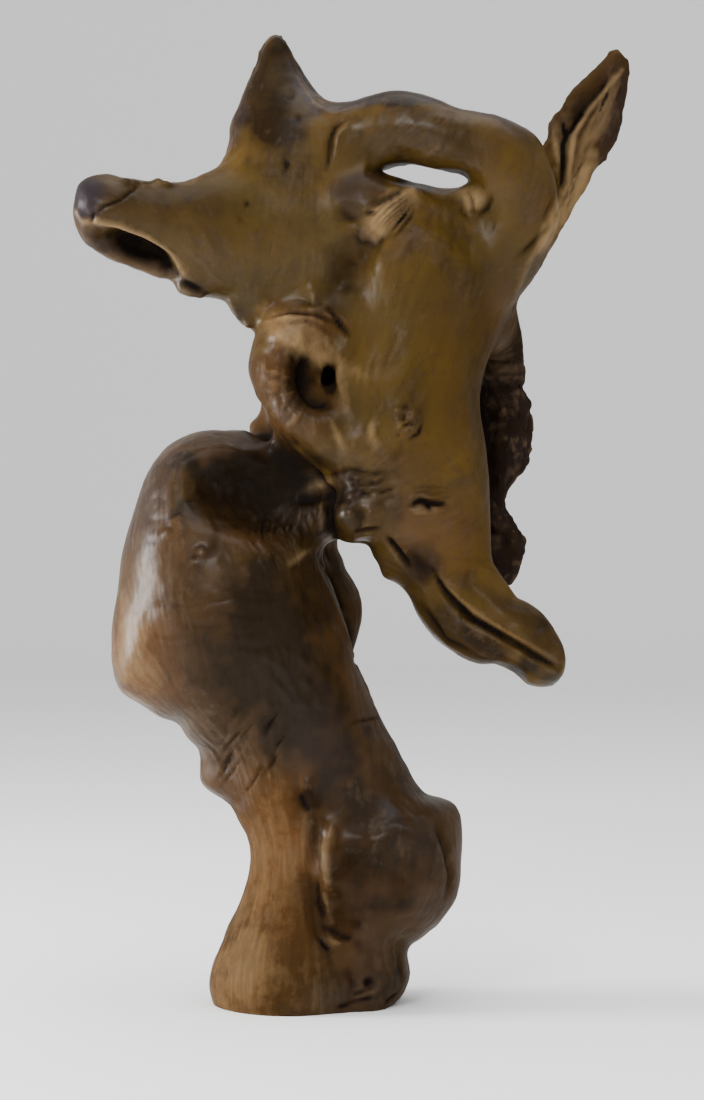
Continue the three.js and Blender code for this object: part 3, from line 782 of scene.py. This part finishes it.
def carve_trunk(carver):
    # The ridge along the right side, and the cracks across it
    carver.strokes(
        (3, 1.4, 0.12, (314, 560), (330, 596), (344, 630), (358, 668), (372, 698)),
        (5, -1.4, 0.1, (300, 570), (314, 606), (326, 640), (340, 680)),
        (0.9, -0.7, 0.7, (349, 724), (364, 720), (380, 717)),
    )
    # Fields of raised fibres
    carver.paint(
        fibrous=[
            (290, 690, 30, 70, 0.45, -20), (252, 770, 34, 26, 0.6, 30),
            (214, 737, 14, 10, 0.7), (280, 560, 60, 30, 0.5),
        ]
    )
    # The edge over the round knuckle behind the trunk, a groove darkened with painted shade
    carver.stroke(2.4, -2.8, 1, (318, 554), (333, 588), (346, 622), (357, 650), (366, 676))
    dice = np.random.default_rng(31)
    for _ in range(34):
        x, y = 296 + dice.uniform(-30, 26), 668 + dice.uniform(-50, 46)
        path = [(x - 3, y - 6), (x, y), (x + 4, y + 6)]
        carver.stroke(dice.uniform(1.4, 2.6), dice.uniform(0.4, 1.0), 0, *path)
    for i in range(14):
        x, y = 214 + dice.uniform(-46, 60), 590 + 9 * (i % 7) + dice.uniform(-4, 4)
        run = dice.uniform(16, 34)
        path = [(x - run, y - 3), (x, y + 2), (x + run, y - 3)]
        carver.stroke(dice.uniform(1.0, 1.6), -dice.uniform(0.25, 0.5), 0.15, *path)
    # Long folds that run down to the waist
    dice = np.random.default_rng(11)
    for _ in range(22):
        x, y = 246 + dice.uniform(-26, 34), 748 + dice.uniform(-34, 34)
        run, bend = dice.uniform(9, 20), dice.uniform(-3, 3)
        path = [(x + run * 0.5, y - run * 0.8), (x + bend, y), (x - run * 0.5, y + run * 0.8)]
        carver.stroke(dice.uniform(0.9, 1.6), -dice.uniform(0.5, 1.1), dice.uniform(0.1, 0.3), *path)
    carver.knob(308, 786, 4.2, 2.4)
    carver.strokes(
        (2.4, -1.8, 0.7, (300, 794), (305, 806), (312, 812)),
        (3.4, -1, 0.25, (296, 770), (300, 796), (298, 822)),
    )


def carve_foot(carver):
    # The knee: a long curved ridge, smooth swellings and a dark dip between them
    carver.strokes(
        (4.2, 2.2, 0.2, (342, 814), (331, 830), (326, 848), (327, 874), (333, 904)),
        (4.5, -1.8, 0.15, (317, 822), (315, 850), (315, 876)),
    )
    carver.knob(360, 840, 8, 1.6)
    carver.knob(362, 872, 15, -4)
    carver.strokes(
        (7, 3, 0, (352, 838), (372, 844), (396, 830), (424, 840), (440, 860)),
        (4, -2, 0.1, (400, 800), (416, 812), (432, 812)),
        (3.2, -2.4, 0.35, (436, 824), (445, 850), (451, 874), (446, 894)),
        (3, -0.9, 0.25, (386, 872), (404, 884), (398, 902)),
        # The valley between the two strands, and its pits
        (4, -2.8, 0.3, (308, 868), (312, 900), (318, 930), (334, 962), (342, 990)),
    )
    for shift in (-7, 8):
        carver.stroke(1.6, -0.8, 0.25, (310 + shift, 880), (313 + shift, 910), (322 + shift, 948))
    carver.strokes(
        (3, 1.8, 0.15, (322, 890), (330, 914), (334, 926)),
        (1.8, -1.8, 0.6, (316, 880), (320, 902), (326, 920)),
        (2.2, -1.8, 0.55, (322, 924), (332, 930), (344, 937), (352, 939)),
        (1.6, -1.2, 0.4, (320, 934), (326, 944), (334, 950)),
        (2.4, 1.4, 0.2, (320, 934), (330, 942), (346, 944)),
    )
    carver.pit(369, 983, 3.6, 3.4, 1.0)
    for row in (
        ((346, 1004), (380, 996)), ((352, 996), (366, 990)), ((336, 1008), (352, 1004)),
        ((384, 1004), (398, 992)),
    ):
        carver.stroke(1.5, -1.1, 0.6, *row)
    carver.strokes(
        (2.6, -1.4, 0.4, (345, 966), (352, 982), (350, 1000)),
        (3, -1.2, 0.3, (398, 950), (400, 968), (404, 984)),
    )


def carve_behind(carver):
    """The lumps of the rear root, and the folds of the sides that the photograph doesn't show."""
    points = carver.skin.points
    back = 1 - carver.front
    rough = carver.skin.spread(carver.own("rear_root"), 5)
    lumps = np.abs(ripple(points, 15, 41)) + 0.5 * np.abs(ripple(points, 7, 42))
    carver.height += rough * (3.4 * lumps - 1.5 + 0.5 * ripple(points, 3.0, 43))
    # Painted shade in the dips between the lumps, and painted light on their crests
    carver.marks["hollow"] += rough * np.clip(0.25 - lumps, 0, 1) * 1.3
    carver.marks["pale"] += rough * 0.05 * soft(lumps, 0.4, 0.9)
    carver.marks["violet"] += rough * (0.35 + 0.2 * soft(lumps, 0.3, 0.9))
    folds = np.abs(ripple(points * (1, 1, 0.35), 22, 44))
    carver.height += back * (1.8 * folds - 0.6) * (1 - rough)
    # Painted shade in the dips between the folds
    carver.marks["hollow"] += back * np.clip(0.12 - folds, 0, 1) * 1.2


# Shader maths


class Wire:
    """A socket in a node tree. Sums and products of wires add Math nodes."""

    def __init__(self, tree, socket):
        self.tree = tree
        self.socket = socket

    @classmethod
    def node(cls, tree, kind, settings, sockets, result=0):
        """A result of a new node, with its settings first and then its sockets' values or wires."""
        made = tree.nodes.new(kind)
        for name, value in settings.items():
            setattr(made, name, value)
        for place, value in sockets.items():
            if isinstance(value, Wire):
                tree.links.new(value.socket, made.inputs[place])
            else:
                made.inputs[place].default_value = value
        return cls(tree, made.outputs[result] if made.outputs else None)

    def maths(self, operation, other, clamp=False):
        settings = {"operation": operation, "use_clamp": clamp}
        return Wire.node(self.tree, "ShaderNodeMath", settings, {0: self, 1: other})

    def __add__(self, other):
        return self.maths("ADD", other)

    __radd__ = __add__

    def __mul__(self, other):
        return self.maths("MULTIPLY", other)

    __rmul__ = __mul__

    def __sub__(self, other):
        return self.maths("SUBTRACT", other)

    def __rsub__(self, other):
        return self * -1.0 + other

    def clamped(self):
        return self.maths("ADD", 0.0, clamp=True)


def blend_colours(tree, share, one, two):
    """Two colours, mixed by a share that is kept between 0 and 1."""
    factor_socket, one_socket, two_socket, colour_result = 0, 6, 7, 2
    one, two = (shade if isinstance(shade, Wire) else (*shade, 1.0) for shade in (one, two))
    settings = {"data_type": "RGBA", "clamp_factor": True}
    sockets = {factor_socket: share, one_socket: one, two_socket: two}
    return Wire.node(tree, "ShaderNodeMix", settings, sockets, colour_result)


def wood_finish(name, settings, gloss=1.0):
    """Varnished root wood, coloured by the marks that the skin carries."""
    finish = bpy.data.materials.new(name)
    finish.use_nodes = True
    tree = finish.node_tree
    tree.nodes.clear()
    place = Wire.node(tree, "ShaderNodeTexCoord", {}, {}, "Object")

    def carried(label):
        return Wire.node(tree, "ShaderNodeAttribute", {"attribute_name": label}, {}, "Fac")

    def noise(scale, detail=3.0, roughness=0.55):
        sockets = {"Vector": place, "Scale": scale, "Detail": detail, "Roughness": roughness}
        return Wire.node(tree, "ShaderNodeTexNoise", {}, sockets, "Fac")

    streak, band, hollow, dry = map(carried, ("streak", "band", "hollow", "dry"))
    # From clouds of several centimetres down to pores of a millimetre or two
    olive, cloud, blot = noise(14.0, 4.0), noise(22.0), noise(75.0, 4.0)
    speck, pores = noise(230.0, 4.0, 0.62), noise(620.0, 2.0)
    uneven = (cloud - 0.5) * 1.1 + (blot - 0.5) * 1.1 + (speck - 0.5) * 0.7

    wood = settings.brown
    gold = blend_colours(tree, (olive - 0.42) * 3.0, settings.golden, settings.olive)
    dark = tuple(0.45 * c for c in settings.brown)
    # Each colour lies over those before it, with an uneven edge
    for share, shade in (
        (carried("golden") + uneven * 0.8, gold),
        (carried("ruddy") + uneven * 0.7, settings.ruddy),
        (carried("umber") + uneven * 0.7 + band * 0.12, settings.umber),
        (carried("violet") + uneven * 0.6, settings.violet),
        ((carried("pale") + streak * 0.06 + uneven * 0.5 - 0.05).clamped() * 0.8, settings.pale),
        ((streak * -0.09 + band * -0.06 + uneven * 1.1).clamped() * 0.7, dark),
        # Painted shade and pitch in the hollows and cracks lie over all the rest
        (hollow + uneven * hollow, settings.pitch),
    ):
        wood = blend_colours(tree, share, wood, shade)

    rough = dry * 0.3 + (cloud - 0.5) * 0.16 + hollow * 0.2 + settings.roughness / gloss
    coat = settings.varnish * gloss - dry * 0.5 - hollow * 0.4 + (speck - 0.5) * 0.2
    height = speck * 0.5 + pores * 0.35 + streak * 0.24
    bump = {"Height": height, "Strength": 0.55, "Distance": 0.0007}
    sockets = {
        "Base Color": wood,
        "Roughness": rough.clamped(),
        "Coat Weight": coat.clamped(),
        "Coat Roughness": 0.3,
        "Coat IOR": 1.45,
        "Specular IOR Level": 0.03,
        "Normal": Wire.node(tree, "ShaderNodeBump", {}, bump),
    }
    shader = Wire.node(tree, "ShaderNodeBsdfPrincipled", {}, sockets)
    Wire.node(tree, "ShaderNodeOutputMaterial", {}, {"Surface": shader})
    return finish


# Operators


class ROOT_OT_skin(bpy.types.Operator):
    """Wears the model's facets into one fine skin, and carves and marks it"""

    bl_idname = "root.skin"
    bl_label = "Carve the skin"

    def execute(self, context):
        shape = context.scene.root_shape
        mesh = worn_skin(shape.spacing, shape.wear)
        mesh.name = SKIN
        mesh.use_fake_user = True
        skin = Skin(mesh)
        fit_outline(skin)
        normal = skin.normals()
        branch = branch_of_points(mesh, skin)
        lie = unit(np.stack([mark(mesh, "lie_" + axis) for axis in "xyz"], axis=1))
        dice = np.random.default_rng(7)
        steps = 8
        grain = skin.spread(dice.standard_normal(len(skin.points)), 1)
        fine = drawn_out(skin, lie, grain, steps)
        broad = mark(mesh, "band")
        fine, broad = fine / fine.std(), broad / broad.std()
        carver = Carver(skin, normal, branch)
        carve(carver)
        carver.marks["streak"] = np.clip(fine * 0.5, -1, 1)
        carver.marks["band"] = np.clip(broad * 0.5, -1, 1)
        colour_wood(carver)
        lumps = uneven_surface(carver)
        # The grain leaves fine and broad ridges, which are higher in the fields of raised fibres
        fibrous = np.clip(carver.marks["fibrous"], 0, 1)
        fibre = shape.fibre * ((0.022 + 0.2 * fibrous) * fine + (0.035 + 0.15 * fibrous) * broad)
        skin.points += normal * ((carver.height + lumps) * shape.relief + fibre)[:, None]
        skin.points[:, 2] = np.maximum(skin.points[:, 2], 0.0)
        shade_hollows(carver)
        skin.write(mesh)
        for name in MARKS:
            set_mark(mesh, name, carver.marks[name])
        mesh.update()
        return {"FINISHED"}


def uneven_surface(carver):
    """Low lumps all over the wood, with the dips between them darker."""
    points = carver.skin.points
    low = ripple(points, 26, 61)
    mid = np.abs(ripple(points, 12.5, 62)) + 0.6 * np.abs(ripple(points, 6.5, 63))
    fine = ripple(points, 4.2, 64)
    calm = 1 - 0.5 * soft(low, -0.2, 0.5)
    carver.marks["umber"] += 0.22 * soft(0.22 - mid, -0.08, 0.2) * calm
    return 0.4 * low + calm * (0.34 * mid - 0.16 + 0.05 * fine)


def branch_of_points(mesh, skin):
    """The branch of each point, which is that of one of its faces."""
    face = column(mesh.attributes["branch"].data, "value", 1, np.int32)
    branch = np.zeros(len(skin.points), int)
    for corner in skin.faces.T:
        branch[corner] = face
    return branch


def shade_hollows(carver):
    """Paints shade into the small and large hollows of the carved shape, and lightens its ridges."""
    skin = carver.skin
    near = skin.spread(skin.points, 6)
    wide = skin.spread(near, 60)
    normal = skin.normals()
    small = ((near - skin.points) * normal).sum(axis=1)
    large = ((wide - skin.points) * normal).sum(axis=1)
    marks = carver.marks
    painted_shade = soft(small, 0.12, 0.9) * 0.6 + soft(large, 0.4, 4.0) * 0.4
    marks["hollow"] = np.clip(marks["hollow"] + painted_shade, 0, 1)
    marks["pale"] += soft(-small, 0.12, 0.7) * 0.22


def colour_wood(carver):
    """The golden crown, the ruddy trunk, the dark back and the pale worn places, and some painted light,
    shade and dark reflections.
    """
    skin, marks, front = carver.skin, carver.marks, carver.front
    wide, middle = ripple(skin.points, 52, 3), ripple(skin.points, 21, 4)
    gold = skin.spread(sum(carver.own(n) for n in ("crown", "snout", "horn", "arch", "leg")), 30)
    gold = np.clip(gold * (0.72 + 0.25 * wide + 0.2 * middle), 0, 1)
    marks["golden"] = gold * (0.35 + 0.65 * front)
    red = skin.spread(carver.own("trunk"), 12) * (0.26 + 0.3 * wide + 0.2 * middle)
    marks["ruddy"] = np.clip(red, 0, 1)
    marks["umber"] += np.clip(0.5 * (1 - front) + 0.3 * ripple(skin.points, 37, 5) - 0.05, 0, 0.8)
    # The rear root is dark, and so is the crown where the root grows out of it
    x, y, z = skin.points.T
    behind = soft(x, 86, 96) * soft(y, 14, 26) * (z < 428)
    dark = skin.spread(np.maximum(carver.own("rear_root"), behind), 6)
    marks["umber"] = np.maximum(marks["umber"] * (1 - 0.4 * dark), dark * (0.84 + 0.12 * middle))
    marks["dry"] += 0.8 * dark + 0.35 * skin.spread(carver.own("splinter"), 6)
    marks["golden"] *= 1 - dark
    # The right side is less worn to a shine
    marks["dry"] += 0.42 * soft(carver.normal[:, 0], 0.4, 0.9)
    # The horn and the saddle are dark, with a painted dark reflection on the saddle and the horn's right
    # edge, and the head below them is golden
    carver.paint(
        umber=[
            (272, 88, 38, 62, 0.95, 0, 0.7), (240, 178, 80, 46, 0.16, 0, 0.8),
            (398, 128, 62, 34, 0.5, 0, 0.8), (286, 128, 22, 14, 0.4), (190, 200, 60, 14, 0.3, 8),
            (86, 198, 15, 21, 0.4), (118, 196, 20, 14, 0.45),
        ],
        golden=[
            (280, 82, 14, 30, 0.3), (268, 178, 44, 40, 0.35), (128, 262, 50, 14, -0.6, 26),
            (86, 205, 26, 30, -0.7),
        ],
        dry=[(264, 96, 26, 60, 0.45, 14), (86, 198, 18, 24, 0.25)],
        violet=[
            (306, 92, 8, 34, 0.6, -24), (336, 106, 28, 8, 0.6, -12), (236, 120, 7, 42, 0.4, 14),
            (86, 198, 15, 21, 1.15), (128, 262, 50, 12, 0.42, 26),
        ],
    )
    # The dark top of the arch, painted as a dark reflection on its upper face, and the orange of its end
    carver.paint(
        umber=[(400, 97, 70, 8, 0.7, 2), (520, 128, 34, 10, 0.5, 35), (480, 152, 34, 22, 0.12, 30)],
        violet=[(470, 106, 74, 7, 0.55, 16)],
        golden=[(540, 195, 34, 44, 0.9)],
        ruddy=[(534, 205, 34, 44, 0.3)],
        dry=[(492, 158, 34, 26, 0.2, 30)],
    )
    # The crown: a violet lobe, olive strokes and a warm middle; the dark olive stroke down the valley
    # beside the head is partly painted shade
    carver.paint(
        violet=[(360, 196, 24, 20, 0.4), (402, 246, 26, 12, 0.3, -38)],
        umber=[
            (366, 196, 28, 20, 0.45), (342, 300, 30, 14, 0.4, -20), (416, 186, 26, 8, 0.9),
            (352, 262, 24, 36, 0.6, 38), (372, 232, 16, 12, 0.5), (400, 372, 20, 60, 0.12),
        ],
        golden=[(362, 194, 24, 20, -0.3), (440, 330, 60, 60, 0.25)],
        ruddy=[(460, 335, 44, 60, 0.22), (500, 310, 18, 60, 0.3, 10), (300, 320, 40, 14, 0.3, 10)],
    )
    # The pinkish tan ring, and the way into the eye, painted dark as shade in the hole and the crescent
    # beside it
    carver.paint(
        ruddy=[(292, 385, 46, 64, 0.45), (272, 388, 20, 56, 0.3)],
        umber=[(274, 384, 30, 60, 0.42), (310, 343, 48, 13, -0.5, 34), (305, 378, 11, 26, 0.7, -6)],
        golden=[(290, 385, 50, 66, -0.5)],
        violet=[(276, 390, 26, 56, 0.08)],
        pale=[(310, 343, 50, 11, 0.45, 34, 0.7)],
        dry=[(311, 380, 18, 30, 0.6)],
        hollow=[(306, 374, 5, 16, 0.4, -6), (318, 402, 9, 7, 0.4, 30), (329, 380, 8.5, 15, 1, 0, 0.2)],
    )
    # Below it: the knob, the hip and the leg, with a painted shadow on the leg under its short crack
    carver.paint(
        umber=[
            (356, 494, 48, 30, 0.55), (344, 522, 20, 18, 0.35), (404, 420, 26, 20, 0.1),
            (486, 420, 14, 90, 0.35, -3), (420, 565, 18, 20, 0.6, 40), (470, 640, 60, 18, 0.5, 32),
            (508, 622, 64, 40, 0.36, 36), (548, 676, 30, 10, 0.7, 20), (545, 648, 24, 24, 0.25),
            (510, 605, 40, 8, 0.3, 30),
        ],
        ruddy=[(440, 535, 44, 36, 0.5)],
        golden=[(470, 500, 40, 60, 0.2)],
        violet=[(420, 565, 16, 18, 0.3, 40)],
    )
    # The rear root: dark above, and lighter lumps below, where painted light lightens a lump
    carver.paint(
        umber=[(512, 346, 14, 36, 0.3), (514, 440, 9, 60, 0.4), (500, 430, 9, 34, -0.2)],
        hollow=[(499, 428, 9, 30, -0.4)],
        pale=[(499, 428, 8, 30, 0.06)],
    )
    # The splinter's dark hollow
    carver.paint(
        violet=[
            (612, 120, 14, 54, 0.45, 12, 0.5, "splinter"), (584, 110, 24, 60, 0.1, 30, 0.5, "splinter"),
        ],
        pale=[(570, 198, 9, 52, 1, 30), (592, 132, 8, 46, 0.55, 24), (562, 140, 8, 28, 0.3, 10)],
    )
    # The shoulder: a violet flank, paler on its left with painted light from the left, an orange foot of
    # it, and the black hollow, dark partly with painted shade and partly with stain
    carver.paint(
        violet=[(150, 500, 22, 66, 0.3, 16)],
        umber=[
            (152, 492, 24, 60, 0.45, 16), (262, 486, 76, 44, 1.1, 4), (240, 560, 40, 18, 0.3),
            (204, 545, 22, 24, 0.4),
        ],
        ruddy=[(140, 655, 34, 46, 0.6, -15)],
        pale=[(134, 660, 24, 44, 0.34, -12), (138, 600, 16, 60, 0.15, 4)],
        hollow=[(266, 478, 58, 30, 0.55, 4)],
        golden=[(186, 470, 14, 44, 0.6, 8), (240, 562, 34, 16, 0.45)],
    )
    # The trunk: plain brown, darkest down its middle
    carver.paint(
        umber=[
            (240, 640, 66, 76, 0.45), (230, 700, 60, 60, 0.3), (292, 690, 46, 84, 0.95, -22),
            (300, 590, 60, 40, 0.35), (300, 556, 40, 24, 0.3),
        ],
        ruddy=[(236, 650, 80, 100, -0.35)],
        dry=[(262, 650, 80, 130, 0.22), (300, 684, 40, 76, -0.1, -20)],
        violet=[(316, 740, 24, 60, 0.15, -25)],
        pale=[(300, 684, 50, 90, -0.25, -20)],
    )
    # The knee is dark, and the foot olive and tan
    carver.paint(
        umber=[(370, 850, 66, 76, 0.86), (360, 990, 50, 22, 0.5), (385, 955, 24, 30, 0.25)],
        ruddy=[
            (376, 856, 60, 76, 0.34), (300, 820, 30, 50, 0.3), (366, 866, 44, 44, 0.3),
            (262, 960, 60, 70, 0.22), (280, 860, 44, 84, 0.35),
        ],
        # Painted shade in the dip of the knee
        hollow=[(358, 868, 22, 20, 0.2)],
        dry=[(372, 880, 50, 50, 0.25), (256, 940, 70, 90, 0.8), (270, 850, 50, 70, 0.6)],
        golden=[(246, 980, 70, 60, 0.2), (400, 960, 20, 34, 0.3)],
        # The pale on the left side of the foot is partly painted light from the left
        pale=[(262, 990, 60, 36, 0.12), (240, 960, 34, 60, 0.2, 16), (274, 866, 34, 74, 0.16)],
        violet=[(404, 824, 36, 7, 0.3, 44)],
    )
    # The ring, the head, the crown and the leg are duller than fresh varnish
    carver.paint(
        dry=[
            (262, 372, 14, 60, 0.5), (220, 190, 90, 50, 0.25), (410, 330, 80, 140, 0.42, 0, 0.6),
            (480, 600, 90, 70, 0.35, 0, 0.6),
        ]
    )


class ROOT_OT_branch(bpy.types.Operator):
    """Parts one branch from the skin, closes it at the saw cuts and gives it its finish"""

    bl_idname = "root.branch"
    bl_label = "Make a branch"

    branch: bpy.props.EnumProperty(
        name="Branch",
        description="The branch that is made",
        items=[(name, name.replace("_", " ").capitalize(), "") for name in BRANCHES],
    )

    def execute(self, context):
        skin = bpy.data.meshes.get(SKIN)
        if skin is None:
            raise RuntimeError("carve the skin before its branches")
        piece = parted(skin, self.branch)
        settings = context.scene.root_finish
        gloss = {"rear_root": 0.6, "splinter": 0.75}.get(self.branch, 1.0)
        piece.data.materials.append(wood_finish(self.branch + "_wood", settings, gloss))
        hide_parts(self.branch)
        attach(piece, "root")
        return {"FINISHED"}


def parted(whole, name):
    """One branch of the whole skin as an object. Its normals are those of the whole."""
    face = column(whole.attributes["branch"].data, "value", 1, np.int32)
    mine = corners(whole)[face == BRANCHES.index(name)]
    used, local = np.unique(mine, return_inverse=True)
    faces = local.reshape(-1, 4)
    points = column(whole.vertices, "co", 3)[used]
    normals = column(whole.vertex_normals, "vector", 3)[used]
    # The rim of a saw cut is made of the edges that only one face has. It turns in under the
    # skin, and the cut is closed there
    start, end = faces.ravel(), np.roll(faces, -1, axis=1).ravel()
    size = len(used)
    key = np.minimum(start, end).astype(np.int64) * size + np.maximum(start, end)
    first, count = np.unique(key, return_index=True, return_counts=True)[1:]
    edge = first[count == 1]
    rim, place = np.unique(np.stack([start[edge], end[edge]]), return_inverse=True)
    a, b = place.reshape(2, -1)
    strip = np.stack([rim[b], rim[a], size + a, size + b], axis=1)
    points = np.concatenate([points, points[rim] - TURN_IN * MM * normals[rim]])
    normals = np.concatenate([normals, normals[rim]])
    used = np.concatenate([used, used[rim]])
    mesh = bpy.data.meshes.new(name + "_skin")
    mesh.from_pydata(points.tolist(), [], np.concatenate([faces, strip]).tolist())
    for label in MARKS:
        set_mark(mesh, label, mark(whole, label)[used])
    shell = bmesh.new()
    shell.from_mesh(mesh)
    bmesh.ops.holes_fill(shell, edges=[e for e in shell.edges if e.is_boundary], sides=0)
    shell.to_mesh(mesh)
    shell.free()
    mesh.shade_smooth()
    mesh.normals_split_custom_set_from_vertices(normals.tolist())
    piece = bpy.data.objects.new(name + "_wood", mesh)
    bpy.context.scene.collection.objects.link(piece)
    return piece


class ROOT_OT_stage(bpy.types.Operator):
    """Sets the pale floor, the soft light and the camera"""

    bl_idname = "root.stage"
    bl_label = "Set the stage"

    def execute(self, context):
        settings = context.scene.root_stage
        studio_bowl(settings.floor)
        world = bpy.data.worlds.new("studio_air")
        world.use_nodes = True
        air = world.node_tree.nodes["Background"]
        air.inputs["Color"].default_value = (0.97, 0.98, 1.0, 1.0)
        air.inputs["Strength"].default_value = settings.fill
        context.scene.world = world
        # Where each lamp hangs, its width and height in metres, and its power
        lamp("window_left", (-1.6, -0.02, 0.46), (0.6, 0.8), settings.window)
        lamp("window_front", (-0.5, -1.5, 0.95), (0.45, 0.45), settings.window * 0.24)
        lamp("ceiling", (0.1, -0.2, 2.7), (2.4, 2.4), settings.window)
        camera = bpy.data.cameras.new("camera")
        camera.sensor_width = SENSOR
        camera.lens = SENSOR * -EYE[1] / (PIXEL * FRAME_HEIGHT)
        eye = bpy.data.objects.new("camera", camera)
        eye.location = EYE * MM
        eye.rotation_euler = (math.radians(90), 0, 0)
        context.scene.collection.objects.link(eye)
        context.scene.camera = eye
        return {"FINISHED"}


def lamp(name, place, size, power):
    """A large soft lamp that points at the middle of the root."""
    light = bpy.data.lights.new(name, "AREA")
    light.shape = "RECTANGLE"
    light.size, light.size_y = size
    light.energy = power
    holder = bpy.data.objects.new(name, light)
    holder.location = place
    holder.visible_camera = False
    middle = Vector((0.02, 0, 0.3))
    aim = middle - Vector(place)
    holder.rotation_euler = aim.to_track_quat("-Z", "Y").to_euler()
    bpy.context.scene.collection.objects.link(holder)


def studio_bowl(shade):
    """A wide round floor that turns up into a wall all round."""
    disc, flat, bend, height, sides = 1.5, 4.5, 1.6, 4.0, 96
    profile = [(disc, 0.0), (flat, 0.0)]
    profile += [
        (flat + bend * math.sin(a), bend - bend * math.cos(a))
        for a in (math.radians(9 * i) for i in range(1, 11))
    ]
    profile.append((flat + bend, height))
    bowl = bmesh.new()
    rings = []
    for radius, up in profile:
        turns = [2 * math.pi * i / sides for i in range(sides)]
        rings.append([bowl.verts.new((radius * math.cos(t), radius * math.sin(t), up)) for t in turns])
    bowl.faces.new(rings[0])
    for low, high in zip(rings, rings[1:]):
        for i in range(sides):
            j = (i + 1) % sides
            bowl.faces.new((low[i], high[i], high[j], low[j]))
    mesh = bpy.data.meshes.new("studio_bowl")
    bowl.to_mesh(mesh)
    bowl.free()
    mesh.shade_smooth()
    finish = bpy.data.materials.new("pale_floor")
    finish.use_nodes = True
    shader = finish.node_tree.nodes["Principled BSDF"]
    shader.inputs["Base Color"].default_value = (*shade, 1.0)
    shader.inputs["Roughness"].default_value = 0.8
    shader.inputs["Specular IOR Level"].default_value = 0.1
    mesh.materials.append(finish)
    floor = bpy.data.objects.new("studio_bowl", mesh)
    bpy.context.scene.collection.objects.link(floor)
    return floor


class ROOT_PT_panel(bpy.types.Panel):
    bl_idname = "ROOT_PT_panel"
    bl_label = "Root sculpture"
    bl_space_type = "VIEW_3D"
    bl_region_type = "UI"
    bl_category = "Root sculpture"

    def draw(self, context):
        layout = self.layout
        for group in GROUPS:
            settings = getattr(context.scene, group)
            box = layout.box()
            for name in settings.__annotations__:
                box.prop(settings, name)
        layout.operator("root.skin")
        for name in BRANCHES:
            layout.operator("root.branch", text=name.replace("_", " ").capitalize()).branch = name
        layout.operator("root.stage")


CLASSES = (RootShape, RootFinish, RootStage, ROOT_OT_skin, ROOT_OT_branch, ROOT_OT_stage, ROOT_PT_panel)
GROUPS = {"root_shape": RootShape, "root_finish": RootFinish, "root_stage": RootStage}


def register():
    for item in CLASSES:
        bpy.utils.register_class(item)
    for name, group in GROUPS.items():
        setattr(bpy.types.Scene, name, bpy.props.PointerProperty(type=group))


def unregister():
    for name in GROUPS:
        delattr(bpy.types.Scene, name)
    for item in reversed(CLASSES):
        bpy.utils.unregister_class(item)


def main():
    register()
    bpy.ops.root.skin()
    for name in BRANCHES:
        bpy.ops.root.branch(branch=name)
    bpy.ops.root.stage()


if __name__ == "__main__":
    main()
